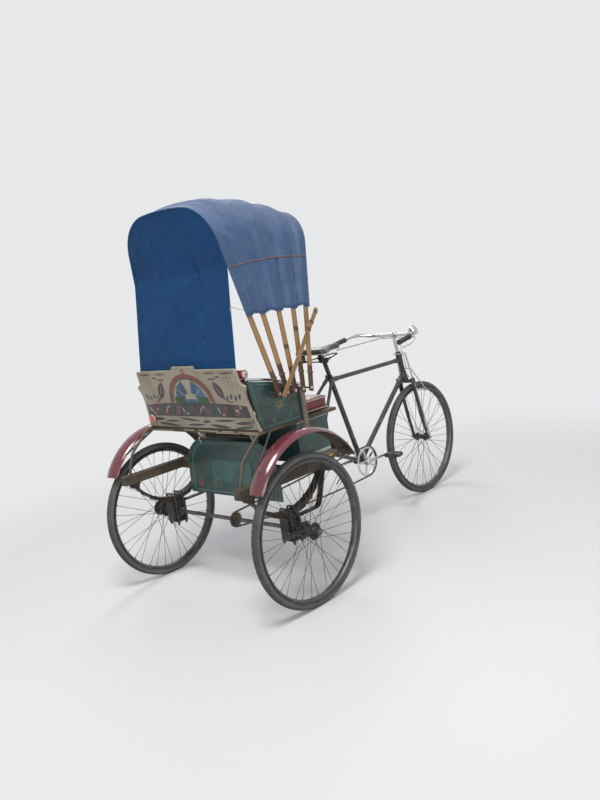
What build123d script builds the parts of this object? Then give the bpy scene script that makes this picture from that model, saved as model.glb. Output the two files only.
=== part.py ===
"""Pedal rickshaw: a heavy roadster front end, a sprung passenger body and a folding hood.

Millimetres, +X forward, +Y left, +Z up. Places are worked out from the rear axle line
and moved at the end so that the origin lies on the ground under the middle of the wheelbase.
"""

import os
from math import asin, atan2, cos, degrees, hypot, pi, radians, sin, tan

from build123d import *

# Wheels and stance
WHEELBASE = 1680.0
TRACK = 1070.0
TYRE_RADIUS = 355.5
TYRE_WIDTH = 38.0
TYRE_DEPTH = 33.0
RIM_DEPTH = 14.0
SEAT_GAP = 0.3
SPOKE_COUNT = 36
SPOKE_RADIUS = 1.3
SPOKE_CROSS_DEG = 55.0
RUNNING_GAP = 0.05
AXLE_RADIUS = 10.0
AXLE_HALF_LENGTH = TRACK / 2 + 70.0
FRONT_AXLE_RADIUS = 5.0

# Steering head and fork
HEAD_ANGLE = 77.0
FORK_RAKE = 8.0
HEAD_LOW_Z = 765.0
HEAD_TOP_Z = 905.0
HEAD_TUBE_RADIUS = 17.0
STEERER_RADIUS = 12.0
CROWN_Z = 742.0
BLADE_Y = 52.0
BLADE_RADIUS = 11.0
STEERER_LIFT = 28.0
CROWN_LENGTH = 34.0
CROWN_HEIGHT = 26.0
CROWN_EDGE = 10.0
FORK_END_RADIUS = 16.0
FORK_END_HALF = 7.0
FORK_ROD_RADIUS = 5.0
FORK_ROD_OUT = 16.0
FORK_ROD_TOP_Y = 34.0
BRIDGE_LIFT = 12.0
BRIDGE_AHEAD = 12.0
BRIDGE_LENGTH = 46.0
BRIDGE_WIDTH = 84.0
BRIDGE_THICK = 9.0
STEM_RADIUS = 11.0
STEM_CLAMP_RADIUS = 16.0
STEM_CLAMP_HALF = 26.0
BAR_KNEE_Y = 150.0
BAR_BACK = 70.0
BAR_RISE = 20.0
BAR_BEND = 42.0
BAR_CLAMP_Z = 1040.0
BAR_RADIUS = 11.0
GRIP_RADIUS = 15.0
GRIP_LENGTH = 115.0
GRIP_Y = 250.0
GRIP_X = 1230.0
GRIP_Z = 1030.0
GRIP_END = 6.0
BELL_X = 1384.0
BRAKE_HEAD_Z = 1006.0
BRAKE_NECK_Z = 802.0
BRAKE_AHEAD = 44.0
BRAKE_WIRE = 3.5
BRAKE_ROD = 3.0
BRAKE_LUG = 5.0
BRAKE_LUG_Y = 110.0
BRAKE_LEVER_REACH = 36.0
BRAKE_LEVER_DROP = 34.0
BRAKE_STIRRUP_Y = 30.0
BRAKE_PAD_DEG = 76.0
BRAKE_PAD_Y = 11.0
BRAKE_PAD = 9.0
BRAKE_PAD_GAP = 3.0
BRAKE_BEND = 8.0
BELL_RADIUS = 29.0
BELL_HOLLOW = 0.93
BELL_POST = 11.0
BELL_RIM = 5.0
BELL_CORE = 3.0
BELL_SKIRT = 10.0
BELL_STEM_RADIUS = 4.0
BELL_STEM = 36.0
BELL_STEPS_DEG = (0, 22, 44, 66, 90)

# Bicycle frame
BB_X = 1055.0
BB_Z = 365.0
BB_RADIUS = 20.0
BB_HALF_WIDTH = 34.0
SEAT_ANGLE = 72.0
SEAT_LUG_Z = 905.0
FRAME_TUBE_RADIUS = 14.5
STAY_RADIUS = 9.0
LOWER_STAY_Y = 19.0
LOWER_STAY_Z = 556.0
UPPER_STAY_Y = 120.0
UPPER_STAY_Z = 590.0
CROSS_MEMBER = 28.0
DOWN_TUBE_LIFT = 28.0
TOP_TUBE_DROP = 24.0
TOP_TUBE_RADIUS = 12.7
SEAT_LUG_LENGTH = 40.0
POST_RADIUS = 12.4
SADDLE_CLAMP_Z = 1000.0
SADDLE_Z = 1046.0
SADDLE_REAR = 95.0
SADDLE_NOSE = 105.0
SADDLE_WIRE = 4.0
COIL_Y = 70.0
COIL_RADIUS = 17.0
COIL_HEIGHT = 42.0
COIL_TURNS = 5
# place along X from the clamp, half width and height of the saddle's top
SADDLE_SECTIONS = (
    (-128.0, 82.0, 16.0),
    (-104.0, 106.0, 34.0),
    (-40.0, 84.0, 30.0),
    (20.0, 40.0, 28.0),
    (110.0, 24.0, 30.0),
    (136.0, 14.0, 16.0),
)

# Drive
CHAIN_PITCH = 12.7
RING_TEETH = 44
COG_TEETH = 18
CHAIN_Y = -45.0
SPROCKET_THICKNESS = 3.0
CHAIN_PLATE = 2.4
CHAIN_HEIGHT = 9.0
CHAIN_SLOT = 3.8
CHAIN_SAG = 20.0
CRANK_LENGTH = 165.0
CRANK_Y = 59.0
CRANK_THICKNESS = 14.0
SPINDLE_RADIUS = 8.0
PEDAL_SPINDLE_RADIUS = 6.0
PEDAL_WIDTH = 92.0
PEDAL_LENGTH = 72.0
PEDAL_THICKNESS = 24.0
PEDAL_BLOCK = 22.0
PEDAL_GAP = 4.0
PEDAL_BARREL = 11.0
PEDAL_END = 5.0
PEDAL_END_HALF_HEIGHT = 9.0
CRANK_BOSS = 17.0
CRANK_EYE = 13.0
CRANK_ROOT_HALF = 15.0
CRANK_TIP_HALF = 11.0
RING_BOSS = 22.0

# Springs and axle blocks
SPRING_Y = 420.0
SPRING_WIDTH = 44.0
SPRING_HALF_SPAN = 235.0
SPRING_RISE = 118.0
SPRING_SEAT_Z = 418.0
LEAF_THICKNESS = 6.0
LEAF_SHARES = (1.0, 0.78, 0.56, 0.36)
EYE_RADIUS = 13.0
EYE_PIN_RADIUS = 6.0
HANGER_PLATE = 5.0
HANGER_BELOW_EYE = 14.0
BLOCK_LENGTH = 92.0
BLOCK_WIDTH = 54.0
BLOCK_DROP = 48.0
STRAP_Z = 398.0
STRAP_KNEE_X = 202.0
STRAP_TOP_X = 266.0
STRAP_TAB = 26.0
STRAP_BEND = 30.0
STRAP_WIDTH = 32.0
STRAP_THICK = 7.0

# Timber ladder under the body
TIMBER = 45.0
TIMBER_OVERHANG = 60.0
TIMBER_TOP_Z = 620.0
CROSS_BEAM_X = 85.0
RAIL_Y = 210.0
RAIL_SIZE = 38.0
RAIL_WALL = 4.0
RAIL_REAR_X = 62.0
RAIL_FRONT_X = 622.0

# Body
BOX_REAR_X = 200.0
BOX_FRONT_X = 425.0
BOX_HALF_WIDTH = 350.0
BOX_WALL = 12.0
SEAT_Z = 815.0
SEAT_BOARD = 15.0
SEAT_BOARD_REAR_X = -92.0
SEAT_BOARD_FRONT_X = 440.0
STRUT_WIDTH = 15.0
STRUT_THICK = 10.0
STRUT_BEND = 55.0
STRUT_PATH = (
    (-68.0, SEAT_Z + 7.5),
    (-110.0, SEAT_Z + 7.5),
    (-225.0, SEAT_Z - 90.0),
    (-255.0, TIMBER_TOP_Z + 20.0),
)
BODY_HALF_WIDTH = 402.0
SEAT_POST = 25.0
SEAT_POST_X = 76.0
SEAT_POST_Y = 180.0
SEAT_RAIL_Z = SEAT_Z - 58.0
SEAT_RAIL_RADIUS = 8.0
SIDE_PANEL = 14.0
SIDE_FACE_Y = 398.0
SIDE_POST_X = 222.0
SIDE_POST_Z = SEAT_Z + 161.0
SIDE_KNEE_X = 20.0
SIDE_KNEE_Z = SEAT_Z + 225.0
SIDE_REAR_Z = SEAT_Z + 251.0
BACK_RECLINE = 12.5
BACK_BASE_X = -76.0
BACK_BOARD = 16.0
# half width and height of the back board's edge, from its foot up to its shoulder
BACK_EDGE = (
    (402.0, SEAT_Z + 17.0),
    (376.0, SEAT_Z + 150.0),
    (378.0, SEAT_Z + 195.0),
    (392.0, SEAT_Z + 231.0),
    (366.0, SEAT_Z + 247.0),
    (362.0, SEAT_Z + 307.0),
)
BACK_TOP_Z = SEAT_Z + 315.0
BACK_CREST_WIDTH = 160.0
BACK_CREST = 18.0
TAIL_HALF_WIDTH = 332.0
TAIL_SHOULDER_Z = 606.0
TAIL_TOP_HALF_WIDTH = 200.0
TAIL_TOP_Z = 735.0
TAIL_LOW_Z = 455.0
TAIL_SHEET = 8.0
TAIL_FRONT_X = 62.0
FLOOR_FRONT_X = 560.0
FLOOR_BOARD = 15.0
FLOOR_LIP = 46.0
FLOOR_HALF_WIDTH = 345.0
ARM_RAIL_RADIUS = 7.0

# Cushions
SEAT_CUSHION_THICK = 80.0
BACK_CUSHION_THICK = 55.0
CUSHION_GAP = 8.0
CUSHION_EDGE = 14.0
BACK_CUSHION_TOP_Z = SEAT_Z + 273.0

# Fenders
FENDER_X = 30.0
FENDER_Z = 450.0
FENDER_RADIUS = 360.0
FENDER_INNER_Y = TRACK / 2 - 53.0
FENDER_WIDTH = 96.0
FENDER_SHEET = 2.0
FENDER_CROWN = 12.0
FENDER_FRONT_DEG = 27.0
FENDER_REAR_DEG = 154.0
FENDER_FRONT_STAY_DEG = 34.0
FENDER_REAR_STAY_DEG = 138.0
FENDER_STAY_RADIUS = 5.0
FENDER_STAY_PAD = 7.0

# Hood: five bamboo hoops, each on its own pin, in layers from the inside out
HOOP_PIVOT_Z = SEAT_Z + 165.0
HOOP_FIRST_X = 35.0
HOOP_PITCH_X = 36.0
HOOP_BASE_Y = 436.0
HOOP_PITCH_Y = 16.0
HOOP_WIDTH = 32.0
HOOP_THICK = 5.0
HOOP_LEAN_IN = 9.0
HOOP_CORNER = 200.0
HOOP_CROWN_DEG = 6.0
# lean from upright (forward positive), height of the bow above the pin
HOOPS = (
    (-9.0, 897.0),
    (-4.0, 918.0),
    (4.0, 907.0),
    (11.0, 890.0),
    (16.0, 866.0),
)
HOOP_PIN_RADIUS = 4.0
HOOP_SIDE_PLAY = 1.5
HOOP_PIN_HEAD = 2.0
HOOP_PIN_HEAD_RADIUS = 7.0
COVER_GAP = 0.6
COVER_SHEET = 3.0
COVER_SIDE_Z = HOOP_PIVOT_Z + 365.0
CURTAIN_GAP = 0.8
CURTAIN_EDGE = -0.5
CURTAIN_HOLD_Z = HOOP_PIVOT_Z + 590.0
CURTAIN_LOW_X = -128.4
CURTAIN_LOW_Z = BACK_TOP_Z - 10.0
CURTAIN_HALF_WIDTH = 350.0
BRACE_Y = 471.5
BRACE_WIDTH = 24.0
BRACE_THICK = 5.0
BRACE_FOOT = (20.0, HOOP_PIVOT_Z - 12.0)
BRACE_TIP = (318.0, HOOP_PIVOT_Z + 348.0)

WHEEL_Z = TYRE_RADIUS
STEER_X = WHEELBASE - FORK_RAKE / sin(radians(HEAD_ANGLE))
NODES = {}


def keep(name, shape):
    """Files a piece under its node name, moved to the stored origin."""
    NODES[name] = Pos(-WHEELBASE / 2, 0, 0) * shape


def rod(start, end, radius):
    """A round bar between two points."""
    run = Vector(*end) - Vector(*start)
    where = Plane(origin=start, z_dir=run)
    return where * Cylinder(radius, run.length, align=(Align.CENTER, Align.CENTER, Align.MIN))


def bar_x(x0, x1, y0, y1, z0, z1):
    """A squared block from its six bounds."""
    return Pos((x0 + x1) / 2, (y0 + y1) / 2, (z0 + z1) / 2) * Box(x1 - x0, y1 - y0, z1 - z0)


def across(x, z, radius, y0, y1):
    """A round bar along Y."""
    return rod((x, y0, z), (x, y1, z), radius)


def side_plate(outline, y0, y1):
    """An outline in X and Z, made solid between two values of Y."""
    face = make_face(Polyline(*[(x, 0, z) for x, z in outline], close=True))
    return Pos(0, (y0 + y1) / 2, 0) * extrude(face, (y1 - y0) / 2, dir=(0, 1, 0), both=True)


def bent_tube(points, radius, bend):
    """A round tube along straight runs joined by arcs."""
    path = FilletPolyline(*points, radius=bend)
    start = Plane(origin=path @ 0, z_dir=path % 0)
    return sweep(start * Circle(radius), path=path)


def spun(profile, x, y, z):
    """A profile of (radius, offset along Y) turned about the Y line through x, z."""
    face = make_face(Polyline(*[(radius, offset, 0) for radius, offset in profile], close=True))
    return Pos(x, y, z) * revolve(face, Axis.Y)


def steer_point(z):
    """A point of the steering axis at a height."""
    return (STEER_X - (z - WHEEL_Z) / tan(radians(HEAD_ANGLE)), 0.0, z)


def seat_point(z):
    """A point of the seat tube's centre line at a height."""
    return (BB_X - (z - BB_Z) / tan(radians(SEAT_ANGLE)), 0.0, z)


def tyre(x, y):
    r, w = TYRE_RADIUS, TYRE_WIDTH / 2
    bead = r - TYRE_DEPTH
    section = [(r, -6), (r, 6), (r - 6, 0.82 * w), (r - 17, w), (bead, 13), (bead, -13)]
    section += [(r - 17, -w), (r - 6, -0.82 * w)]
    return spun(section, x, y, WHEEL_Z)


def rim(x, y):
    outer = TYRE_RADIUS - TYRE_DEPTH - SEAT_GAP
    section = [(outer, -12), (outer, 12), (outer - 5, 17), (outer - RIM_DEPTH, 8)]
    section += [(outer - RIM_DEPTH, -8), (outer - 5, -17)]
    return spun(section, x, y, WHEEL_Z)


def spoked_hub(x, y, bore, barrel, flange, flange_y, end_y):
    """A hub with its spokes: half of them leave each flange, crossing the other half."""
    half = [(barrel, 0), (barrel, flange_y - 4), (flange, flange_y - 2), (flange, flange_y + 2)]
    half += [(barrel, flange_y + 4), (barrel * 0.8, end_y), (bore, end_y)]
    whole = half + [(r, -o) for r, o in reversed(half)]
    shape = spun(whole, x, y, WHEEL_Z)
    reach = TYRE_RADIUS - TYRE_DEPTH - SEAT_GAP - RIM_DEPTH - 0.6
    spokes = []
    for i in range(SPOKE_COUNT):
        at_rim = 2 * pi * i / SPOKE_COUNT
        side = 1 if i % 2 else -1
        lead = radians(SPOKE_CROSS_DEG) * (1 if i % 4 < 2 else -1)
        root = flange - 5
        start = (x + root * cos(at_rim + lead), y + side * flange_y, WHEEL_Z + root * sin(at_rim + lead))
        end = (x + reach * cos(at_rim), y + side * 4, WHEEL_Z + reach * sin(at_rim))
        run = Vector(*end) - Vector(*start)
        hexagon = RegularPolygon(SPOKE_RADIUS, 6)
        spokes.append(extrude(Plane(origin=start, z_dir=run) * hexagon, run.length))
    return shape.fuse(*spokes)


def toothed(x, z, teeth, hole, windows=0):
    """A sprocket in the chain's plane, with arms between windows if it is large."""
    pitch = CHAIN_PITCH / (2 * sin(pi / teeth))
    tip, root = pitch + 3.5, pitch - 3.6
    points = []
    for i in range(teeth):
        for share, radius in ((-0.32, root), (-0.1, tip), (0.1, tip), (0.32, root)):
            a = 2 * pi * (i + share) / teeth
            points.append((x + radius * cos(a), z + radius * sin(a)))
    y0, y1 = CHAIN_Y - SPROCKET_THICKNESS / 2, CHAIN_Y + SPROCKET_THICKNESS / 2
    shape = side_plate(points, y0, y1) - across(x, z, hole, y0 - 1, y1 + 1)
    for i in range(windows):
        a = 2 * pi * (i + 0.5) / windows
        inner, outer = 0.36 * pitch, root - 9
        wide, narrow = 0.75 * pi / windows, 0.5 * pi / windows
        corners = ((inner, -narrow), (outer, -wide), (outer, wide), (inner, narrow))
        window = [(x + r * cos(a + d), z + r * sin(a + d)) for r, d in corners]
        shape -= side_plate(window, y0 - 1, y1 + 1)
    return shape


def wheels():
    rear_hub = dict(barrel=27, flange=40, flange_y=30, end_y=54)
    front_hub = dict(barrel=15, flange=25, flange_y=29, end_y=38)
    rear_y = TRACK / 2
    for name, y in (("left", rear_y), ("right", -rear_y)):
        keep(f"tyre_{name}", tyre(0, y))
        keep(f"rim_{name}", rim(0, y))
        keep(f"spoked_hub_{name}", spoked_hub(0, y, AXLE_RADIUS + RUNNING_GAP, **rear_hub))
    keep("tyre_front", tyre(WHEELBASE, 0))
    keep("rim_front", rim(WHEELBASE, 0))
    keep("spoked_hub_front", spoked_hub(WHEELBASE, 0, FRONT_AXLE_RADIUS + RUNNING_GAP, **front_hub))
    nut_y = rear_y + rear_hub["end_y"] + 1
    axle = across(0, WHEEL_Z, AXLE_RADIUS, -AXLE_HALF_LENGTH, AXLE_HALF_LENGTH)
    for side in (1, -1):
        nut = Plane(origin=(0, side * nut_y, WHEEL_Z), z_dir=(0, side, 0)) * RegularPolygon(17, 6)
        axle += extrude(nut, 10)
    keep("rear_axle", axle)
    keep("rear_sprocket", toothed(0, WHEEL_Z, COG_TEETH, AXLE_RADIUS + RUNNING_GAP))


def front_fork():
    """The steerer, the crown, two blades to the axle, and a stiffening rod before each blade."""
    low, top = steer_point(CROWN_Z), steer_point(HEAD_TOP_Z + STEERER_LIFT)
    head = steer_point(CROWN_Z - 2)
    bridge = steer_point(HEAD_TOP_Z + BRIDGE_LIFT)
    bridge_x = bridge[0] + BRIDGE_LENGTH / 2
    fork = rod(low, top, STEERER_RADIUS)
    crown = Box(CROWN_LENGTH, 2 * (BLADE_Y + CROWN_EDGE), CROWN_HEIGHT)
    fork += Plane(origin=low, z_dir=Vector(*top) - Vector(*low)) * crown
    rod_y = BLADE_Y + FORK_ROD_OUT
    for side in (1, -1):
        y = side * BLADE_Y
        fork += rod((WHEELBASE, y, WHEEL_Z), (head[0], y, head[2]), BLADE_RADIUS)
        inner, outer = sorted((y - side * FORK_END_HALF, y + side * FORK_END_HALF))
        fork += across(WHEELBASE, WHEEL_Z, FORK_END_RADIUS, inner, outer)
        rod_top = (bridge_x + 1, side * FORK_ROD_TOP_Y, bridge[2])
        fork += rod((WHEELBASE, side * rod_y, WHEEL_Z), rod_top, FORK_ROD_RADIUS)
    plate = Box(BRIDGE_LENGTH, BRIDGE_WIDTH, BRIDGE_THICK)
    fork += Pos(bridge[0] + BRIDGE_AHEAD, 0, bridge[2]) * plate
    fork += across(WHEELBASE, WHEEL_Z, FRONT_AXLE_RADIUS, -rod_y - 8, rod_y + 8)
    keep("front_fork", fork)


def handlebar(points):
    """The stem, and a bar a side that sweeps back through the points to its grip."""
    top, clamp = steer_point(HEAD_TOP_Z + STEERER_LIFT), points[0]
    bar = rod(top, clamp, STEM_RADIUS)
    bar += across(clamp[0], clamp[2], STEM_CLAMP_RADIUS, -STEM_CLAMP_HALF, STEM_CLAMP_HALF)
    for side in (1, -1):
        bar += bent_tube([(x, side * y, z) for x, y, z in points], BAR_RADIUS, BAR_BEND)
    keep("handlebar", bar)

    run = (Vector(*points[-2]) - Vector(*points[-1])).normalized()
    grips = []
    for side in (1, -1):
        tail = Vector(GRIP_X, side * GRIP_Y, GRIP_Z)
        along = Vector(run.X, side * run.Y, run.Z)
        start, end = tail - along * GRIP_END, tail + along * GRIP_LENGTH
        past = end + along * 9
        grip = rod(tuple(start), tuple(end), GRIP_RADIUS)
        grips.append(grip - rod(tuple(tail), tuple(past), BAR_RADIUS + 0.1))
    keep("handlebar_grips", Compound(children=grips))


def bell(points):
    """A domed bell on a short post, on the right side of the bar."""
    knee, grip = points[-2], points[-1]
    share = (BELL_X - grip[0]) / (knee[0] - grip[0])
    bar_y = grip[1] + share * (knee[1] - grip[1])
    bar_z = grip[2] + share * (knee[2] - grip[2])
    outer = [(BELL_RADIUS * cos(radians(a)), BELL_RADIUS * sin(radians(a))) for a in BELL_STEPS_DEG]
    inner = [(r * BELL_HOLLOW, z * BELL_HOLLOW) for r, z in reversed(outer)]
    post = [(BELL_RIM, BELL_RADIUS), (BELL_RIM, -BELL_SKIRT)]
    post += [(BELL_CORE, -BELL_SKIRT), (BELL_CORE, BELL_RADIUS * BELL_HOLLOW)]
    profile = [(r, 0, z) for r, z in outer[:-1] + post + inner[1:]]
    dome = revolve(make_face(Polyline(*profile, close=True)), Axis.Z)
    stem = Pos(0, 0, BELL_STEM / 2 - BELL_SKIRT) * Cylinder(BELL_STEM_RADIUS, BELL_STEM)
    keep("bell", Pos(BELL_X, -bar_y, bar_z + BAR_RADIUS + BELL_POST) * (dome + stem))


def front_end():
    front_fork()
    x, y, z = steer_point(BAR_CLAMP_Z)
    points = [(x, y, z), (x, BAR_KNEE_Y, z)]
    points += [(x - BAR_BACK, GRIP_Y - 12, z + BAR_RISE), (GRIP_X, GRIP_Y, GRIP_Z)]
    handlebar(points)
    bell(points)


def brake_point(z, ahead):
    """A point in front of the steering axis, square to it."""
    x, y, z = steer_point(z)
    a = radians(HEAD_ANGLE)
    return (x + ahead * sin(a), y, z + ahead * cos(a))


def both_sides(points):
    """A path from the far side of the middle plane to the near one, from its near half."""
    return [(x, -y, z) for x, y, z in reversed(points)] + points


def front_brake():
    """A rod brake: a lever under each grip, a pull rod, and a stirrup with two pads inside the rim."""
    head, neck = brake_point(BRAKE_HEAD_Z, BRAKE_AHEAD), brake_point(BRAKE_NECK_Z, BRAKE_AHEAD)
    wire = BRAKE_WIRE
    grip = (GRIP_X + BRAKE_LEVER_REACH, GRIP_Y, GRIP_Z - BRAKE_LEVER_DROP)
    lever = [(head[0], 140, head[2]), (BELL_X - 12, GRIP_Y - 20, grip[2] + 4), grip]
    brake = bent_tube(both_sides(lever), wire, BRAKE_BEND)

    pad_angle = radians(BRAKE_PAD_DEG)
    rim_inner = TYRE_RADIUS - TYRE_DEPTH - SEAT_GAP - RIM_DEPTH
    pad_r = rim_inner - BRAKE_PAD_GAP - BRAKE_PAD / 2
    pad_x, pad_z = WHEELBASE + pad_r * cos(pad_angle), WHEEL_Z + pad_r * sin(pad_angle)
    stirrup = [(neck[0], BRAKE_STIRRUP_Y, neck[2]), (pad_x, BRAKE_STIRRUP_Y, pad_z)]
    stirrup.append((pad_x, BRAKE_PAD_Y, pad_z))
    brake += bent_tube(both_sides(stirrup), wire, BRAKE_BEND)
    brake += rod(head, neck, BRAKE_ROD)
    clamp = Vector(*steer_point(BAR_CLAMP_Z))
    lug = (Vector(*head) - clamp).normalized() * (BAR_RADIUS + SEAT_GAP)
    for y in (-BRAKE_LUG_Y, BRAKE_LUG_Y):
        across_bar = Vector(0, y, 0)
        brake += rod(tuple(clamp + lug + across_bar), tuple(Vector(*head) + across_bar), BRAKE_LUG)
    for side in (1, -1):
        shoe = Rot(0, 90 - BRAKE_PAD_DEG, 0) * Box(BRAKE_PAD * 3, BRAKE_PAD, BRAKE_PAD)
        brake += Pos(pad_x, side * (BRAKE_PAD_Y + BRAKE_PAD / 2), pad_z) * shoe
    keep("front_brake", brake)


def bicycle_frame():
    """A roadster's frame, whose stays run back to a cross member under the passenger body."""
    head_low, head_top = steer_point(HEAD_LOW_Z), steer_point(HEAD_TOP_Z)
    lug = seat_point(SEAT_LUG_Z)
    shell = across(BB_X, BB_Z, BB_RADIUS, -BB_HALF_WIDTH, BB_HALF_WIDTH)
    frame = shell + rod((BB_X, 0, BB_Z), lug, FRAME_TUBE_RADIUS)
    frame += rod(head_low, head_top, HEAD_TUBE_RADIUS)
    frame += rod((BB_X, 0, BB_Z), steer_point(HEAD_LOW_Z + DOWN_TUBE_LIFT), FRAME_TUBE_RADIUS)
    top_rear = seat_point(SEAT_LUG_Z - TOP_TUBE_DROP)
    frame += rod(top_rear, steer_point(HEAD_TOP_Z - TOP_TUBE_DROP - 2), TOP_TUBE_RADIUS)
    frame += rod(seat_point(SEAT_LUG_Z - SEAT_LUG_LENGTH), lug, FRAME_TUBE_RADIUS + 3)
    cross_x, half, bed_z = RAIL_FRONT_X - 12, CROSS_MEMBER / 2, TIMBER_TOP_Z - TIMBER
    for side in (1, -1):
        low, high = LOWER_STAY_Y * side, UPPER_STAY_Y * side
        frame += rod((BB_X, low, BB_Z), (cross_x, low, LOWER_STAY_Z), STAY_RADIUS)
        frame += rod((lug[0], side * 16, SEAT_LUG_Z - 12), (cross_x, high, UPPER_STAY_Z), STAY_RADIUS)
    frame += bar_x(cross_x - half, cross_x + half, -RAIL_Y, RAIL_Y, bed_z, bed_z + CROSS_MEMBER)
    frame += bar_x(cross_x - half, cross_x + half, -40, 40, LOWER_STAY_Z - 11, bed_z + 5)
    frame -= rod(steer_point(HEAD_LOW_Z - 20), steer_point(HEAD_TOP_Z + 20), STEERER_RADIUS + RUNNING_GAP)
    frame -= across(BB_X, BB_Z, SPINDLE_RADIUS + RUNNING_GAP, -60, 60)
    frame -= rod(seat_point(SEAT_LUG_Z - 90), seat_point(SEAT_LUG_Z + 20), POST_RADIUS + 0.1)
    keep("bicycle_frame", frame)


def saddle():
    """A sprung saddle: a wire frame on two coils at the rear, and a moulded top."""
    clamp = seat_point(SADDLE_CLAMP_Z)
    rear, nose = clamp[0] - SADDLE_REAR, clamp[0] + SADDLE_NOSE
    carrier = rod(seat_point(SEAT_LUG_Z - 70), clamp, POST_RADIUS)
    carrier += across(clamp[0], clamp[2], POST_RADIUS + 2, -24, 24)
    coil_z0, coil_z1 = SADDLE_Z - COIL_HEIGHT, SADDLE_Z
    wire = SADDLE_WIRE
    for side in (1, -1):
        carrier += rod((rear, side * COIL_Y, coil_z0 + 4), (nose, side * 20, SADDLE_Z - 24), wire)
        carrier += rod((clamp[0], side * 20, clamp[2]), (clamp[0] + 4, side * 46, coil_z0 + 11), wire + 2)
        turn = COIL_HEIGHT / COIL_TURNS
        profile = [(0, 0), (COIL_RADIUS, 0)]
        for i in range(COIL_TURNS):
            profile.append((COIL_RADIUS, (i + 0.6) * turn))
            profile.append((COIL_RADIUS - 4, (i + 0.8) * turn))
            profile.append((COIL_RADIUS, (i + 1) * turn))
        profile.append((0, COIL_HEIGHT))
        coil = make_face(Polyline(*[(r, 0, z) for r, z in profile], close=True))
        carrier += Pos(rear, side * COIL_Y, coil_z0) * revolve(coil, Axis.Z)
    carrier += rod((nose, -20, SADDLE_Z - 24), (nose, 20, SADDLE_Z - 24), wire)
    carrier += rod((rear, -COIL_Y, coil_z0 + 4), (rear, COIL_Y, coil_z0 + 4), wire)
    keep("saddle_frame", carrier)

    sections = []
    for x, half, height in SADDLE_SECTIONS:
        arch = ThreePointArc((-half, 0), (0, height), (half, 0)) + Line((half, 0), (-half, 0))
        plane = Plane(origin=(clamp[0] + x, 0, SADDLE_Z + SEAT_GAP), x_dir=(0, 1, 0), z_dir=(1, 0, 0))
        sections.append(plane * make_face(arch))
    keep("saddle", loft(sections, ruled=True))


def crankset():
    """The chainring, the spindle, and two cranks with their pedal pins."""
    crank = toothed(BB_X, BB_Z, RING_TEETH, SPINDLE_RADIUS - 2, windows=5)
    crank += across(BB_X, BB_Z, SPINDLE_RADIUS, -CRANK_Y - 7, CRANK_Y + 7)
    crank += across(BB_X, BB_Z, RING_BOSS, -CRANK_Y + 6, CHAIN_Y + 2)
    for side in (1, -1):
        reach = -side * CRANK_LENGTH
        y0, y1 = side * CRANK_Y - CRANK_THICKNESS / 2, side * CRANK_Y + CRANK_THICKNESS / 2
        arm = [(0, -CRANK_ROOT_HALF), (reach, -CRANK_TIP_HALF)]
        arm += [(reach, CRANK_TIP_HALF), (0, CRANK_ROOT_HALF)]
        crank += side_plate([(BB_X + x, BB_Z + z) for x, z in arm], y0, y1)
        crank += across(BB_X, BB_Z, CRANK_BOSS, y0, y1)
        crank += across(BB_X + reach, BB_Z, CRANK_EYE, y0, y1)
        far = side * (CRANK_Y + 10 + PEDAL_WIDTH)
        crank += across(BB_X + reach, BB_Z, PEDAL_SPINDLE_RADIUS, side * CRANK_Y, far)
    keep("crankset", crank)


def pedal(side):
    """A barrel on the pin, two rubber blocks and an end plate at each end."""
    x = BB_X - side * CRANK_LENGTH
    near = side * (CRANK_Y + CRANK_THICKNESS / 2 + PEDAL_GAP)
    far = near + side * PEDAL_WIDTH
    shape = across(x, BB_Z, PEDAL_BARREL, near, far)
    for end in (1, -1):
        centre = x + end * (PEDAL_LENGTH / 2 - PEDAL_BLOCK / 2 - 2)
        y0, y1 = min(near, far) + 4, max(near, far) - 4
        z0, z1 = BB_Z - PEDAL_THICKNESS / 2, BB_Z + PEDAL_THICKNESS / 2
        shape += bar_x(centre - PEDAL_BLOCK / 2, centre + PEDAL_BLOCK / 2, y0, y1, z0, z1)
    z0, z1 = BB_Z - PEDAL_END_HALF_HEIGHT, BB_Z + PEDAL_END_HALF_HEIGHT
    for y in (near, far - side * PEDAL_END):
        y0, y1 = sorted((y, y + side * PEDAL_END))
        shape += bar_x(x - PEDAL_LENGTH / 2, x + PEDAL_LENGTH / 2, y0, y1, z0, z1)
    return shape - across(x, BB_Z, PEDAL_SPINDLE_RADIUS + RUNNING_GAP, near - side * 2, far + side * 20)


def drive():
    crankset()
    keep("pedal_left", pedal(1))
    keep("pedal_right", pedal(-1))
    keep("chain", chain())


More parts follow.
